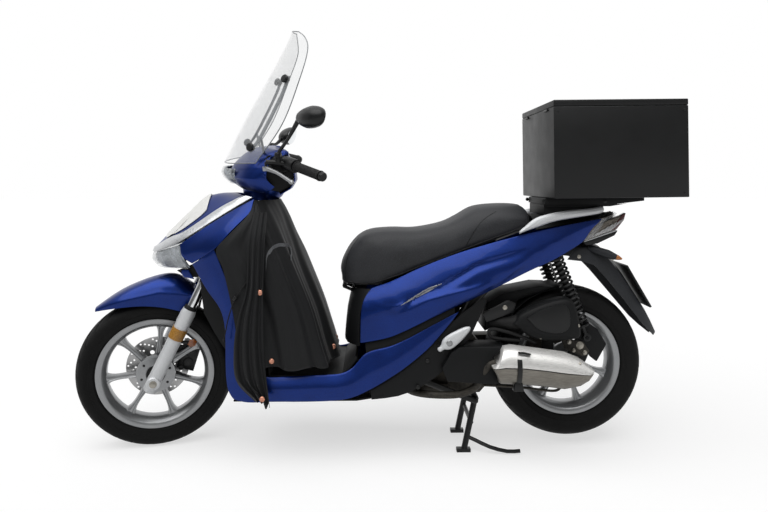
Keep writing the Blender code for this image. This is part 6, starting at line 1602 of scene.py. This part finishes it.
class SCOOTER_OT_stand(bpy.types.Operator):
    """Centre stand and pillion pegs"""
    bl_idname = "scooter.stand"
    bl_label = "Stand"

    def execute(self, context):
        refined("centre_stand", "black_enamel", 0, 0.0015)
        for side, word in SIDES:
            root = np.array([1.026, side * 0.206, 0.398])
            along = np.array([0.094, 0.0, 0.068])
            across = np.array([along[2], 0.0, -along[0]]) / np.linalg.norm(along)
            loops = []
            for share, wide, deep in smooth([(-0.10, 0.004, 0.004), (-0.06, 0.0085, 0.009),
                                             (0.06, 0.0095, 0.0100), (0.17, 0.0190, 0.0105),
                                             (0.34, 0.0230, 0.0105), (0.64, 0.0195, 0.0105),
                                             (0.92, 0.0120, 0.009), (1.03, 0.0060, 0.006),
                                             (1.06, 0.002, 0.003)], 28):
                loops.append(loop_round(root + along * share, across, SIDE, wide, deep, 28))
            put("peg_pad_" + word, loft(loops), "silver_powder_coat", "peg_" + word,
                stands_for=["pillion_peg_" + word], angle=60)
            knob = turned([(1e-5, 0.0), (0.0095, 0.0), (0.0105, 0.0015), (0.0085, 0.0035),
                           (1e-5, 0.0042)], root + along * 0.30 + SIDE * side * 0.0098, SIDE * side, 28)
            put("peg_knob_" + word, knob, "silver_wheel_paint", "peg_" + word)
        return {"FINISHED"}


OPERATORS = (SCOOTER_OT_finishes, SCOOTER_OT_stage, SCOOTER_OT_drawcord, SCOOTER_OT_wheels,
             SCOOTER_OT_fork, SCOOTER_OT_panels, SCOOTER_OT_lamps, SCOOTER_OT_handlebar, SCOOTER_OT_seat,
             SCOOTER_OT_apron, SCOOTER_OT_load_box, SCOOTER_OT_tail, SCOOTER_OT_engine,
             SCOOTER_OT_suspension, SCOOTER_OT_stand)


class SCOOTER_PT_pieces(bpy.types.Panel):
    """Lists the steps that dress the scooter"""
    bl_idname = "SCOOTER_PT_pieces"
    bl_label = "Scooter"
    bl_space_type = "VIEW_3D"
    bl_region_type = "UI"
    bl_category = "Scooter"

    def draw(self, context):
        for group in (context.scene.scooter_colours, context.scene.scooter_sizes):
            for name in group.__annotations__:
                self.layout.prop(group, name)
        for operator in OPERATORS:
            self.layout.operator(operator.bl_idname)


CLASSES = (ScooterColours, ScooterSizes) + OPERATORS + (SCOOTER_PT_pieces,)


def register():
    for kind in CLASSES:
        bpy.utils.register_class(kind)
    bpy.types.Scene.scooter_colours = bpy.props.PointerProperty(type=ScooterColours)
    bpy.types.Scene.scooter_sizes = bpy.props.PointerProperty(type=ScooterSizes)


def unregister():
    del bpy.types.Scene.scooter_sizes
    del bpy.types.Scene.scooter_colours
    for kind in reversed(CLASSES):
        bpy.utils.unregister_class(kind)


def main():
    register()
    for operator in OPERATORS:
        group, name = operator.bl_idname.split(".")
        getattr(getattr(bpy.ops, group), name)()


if __name__ == "__main__":
    main()
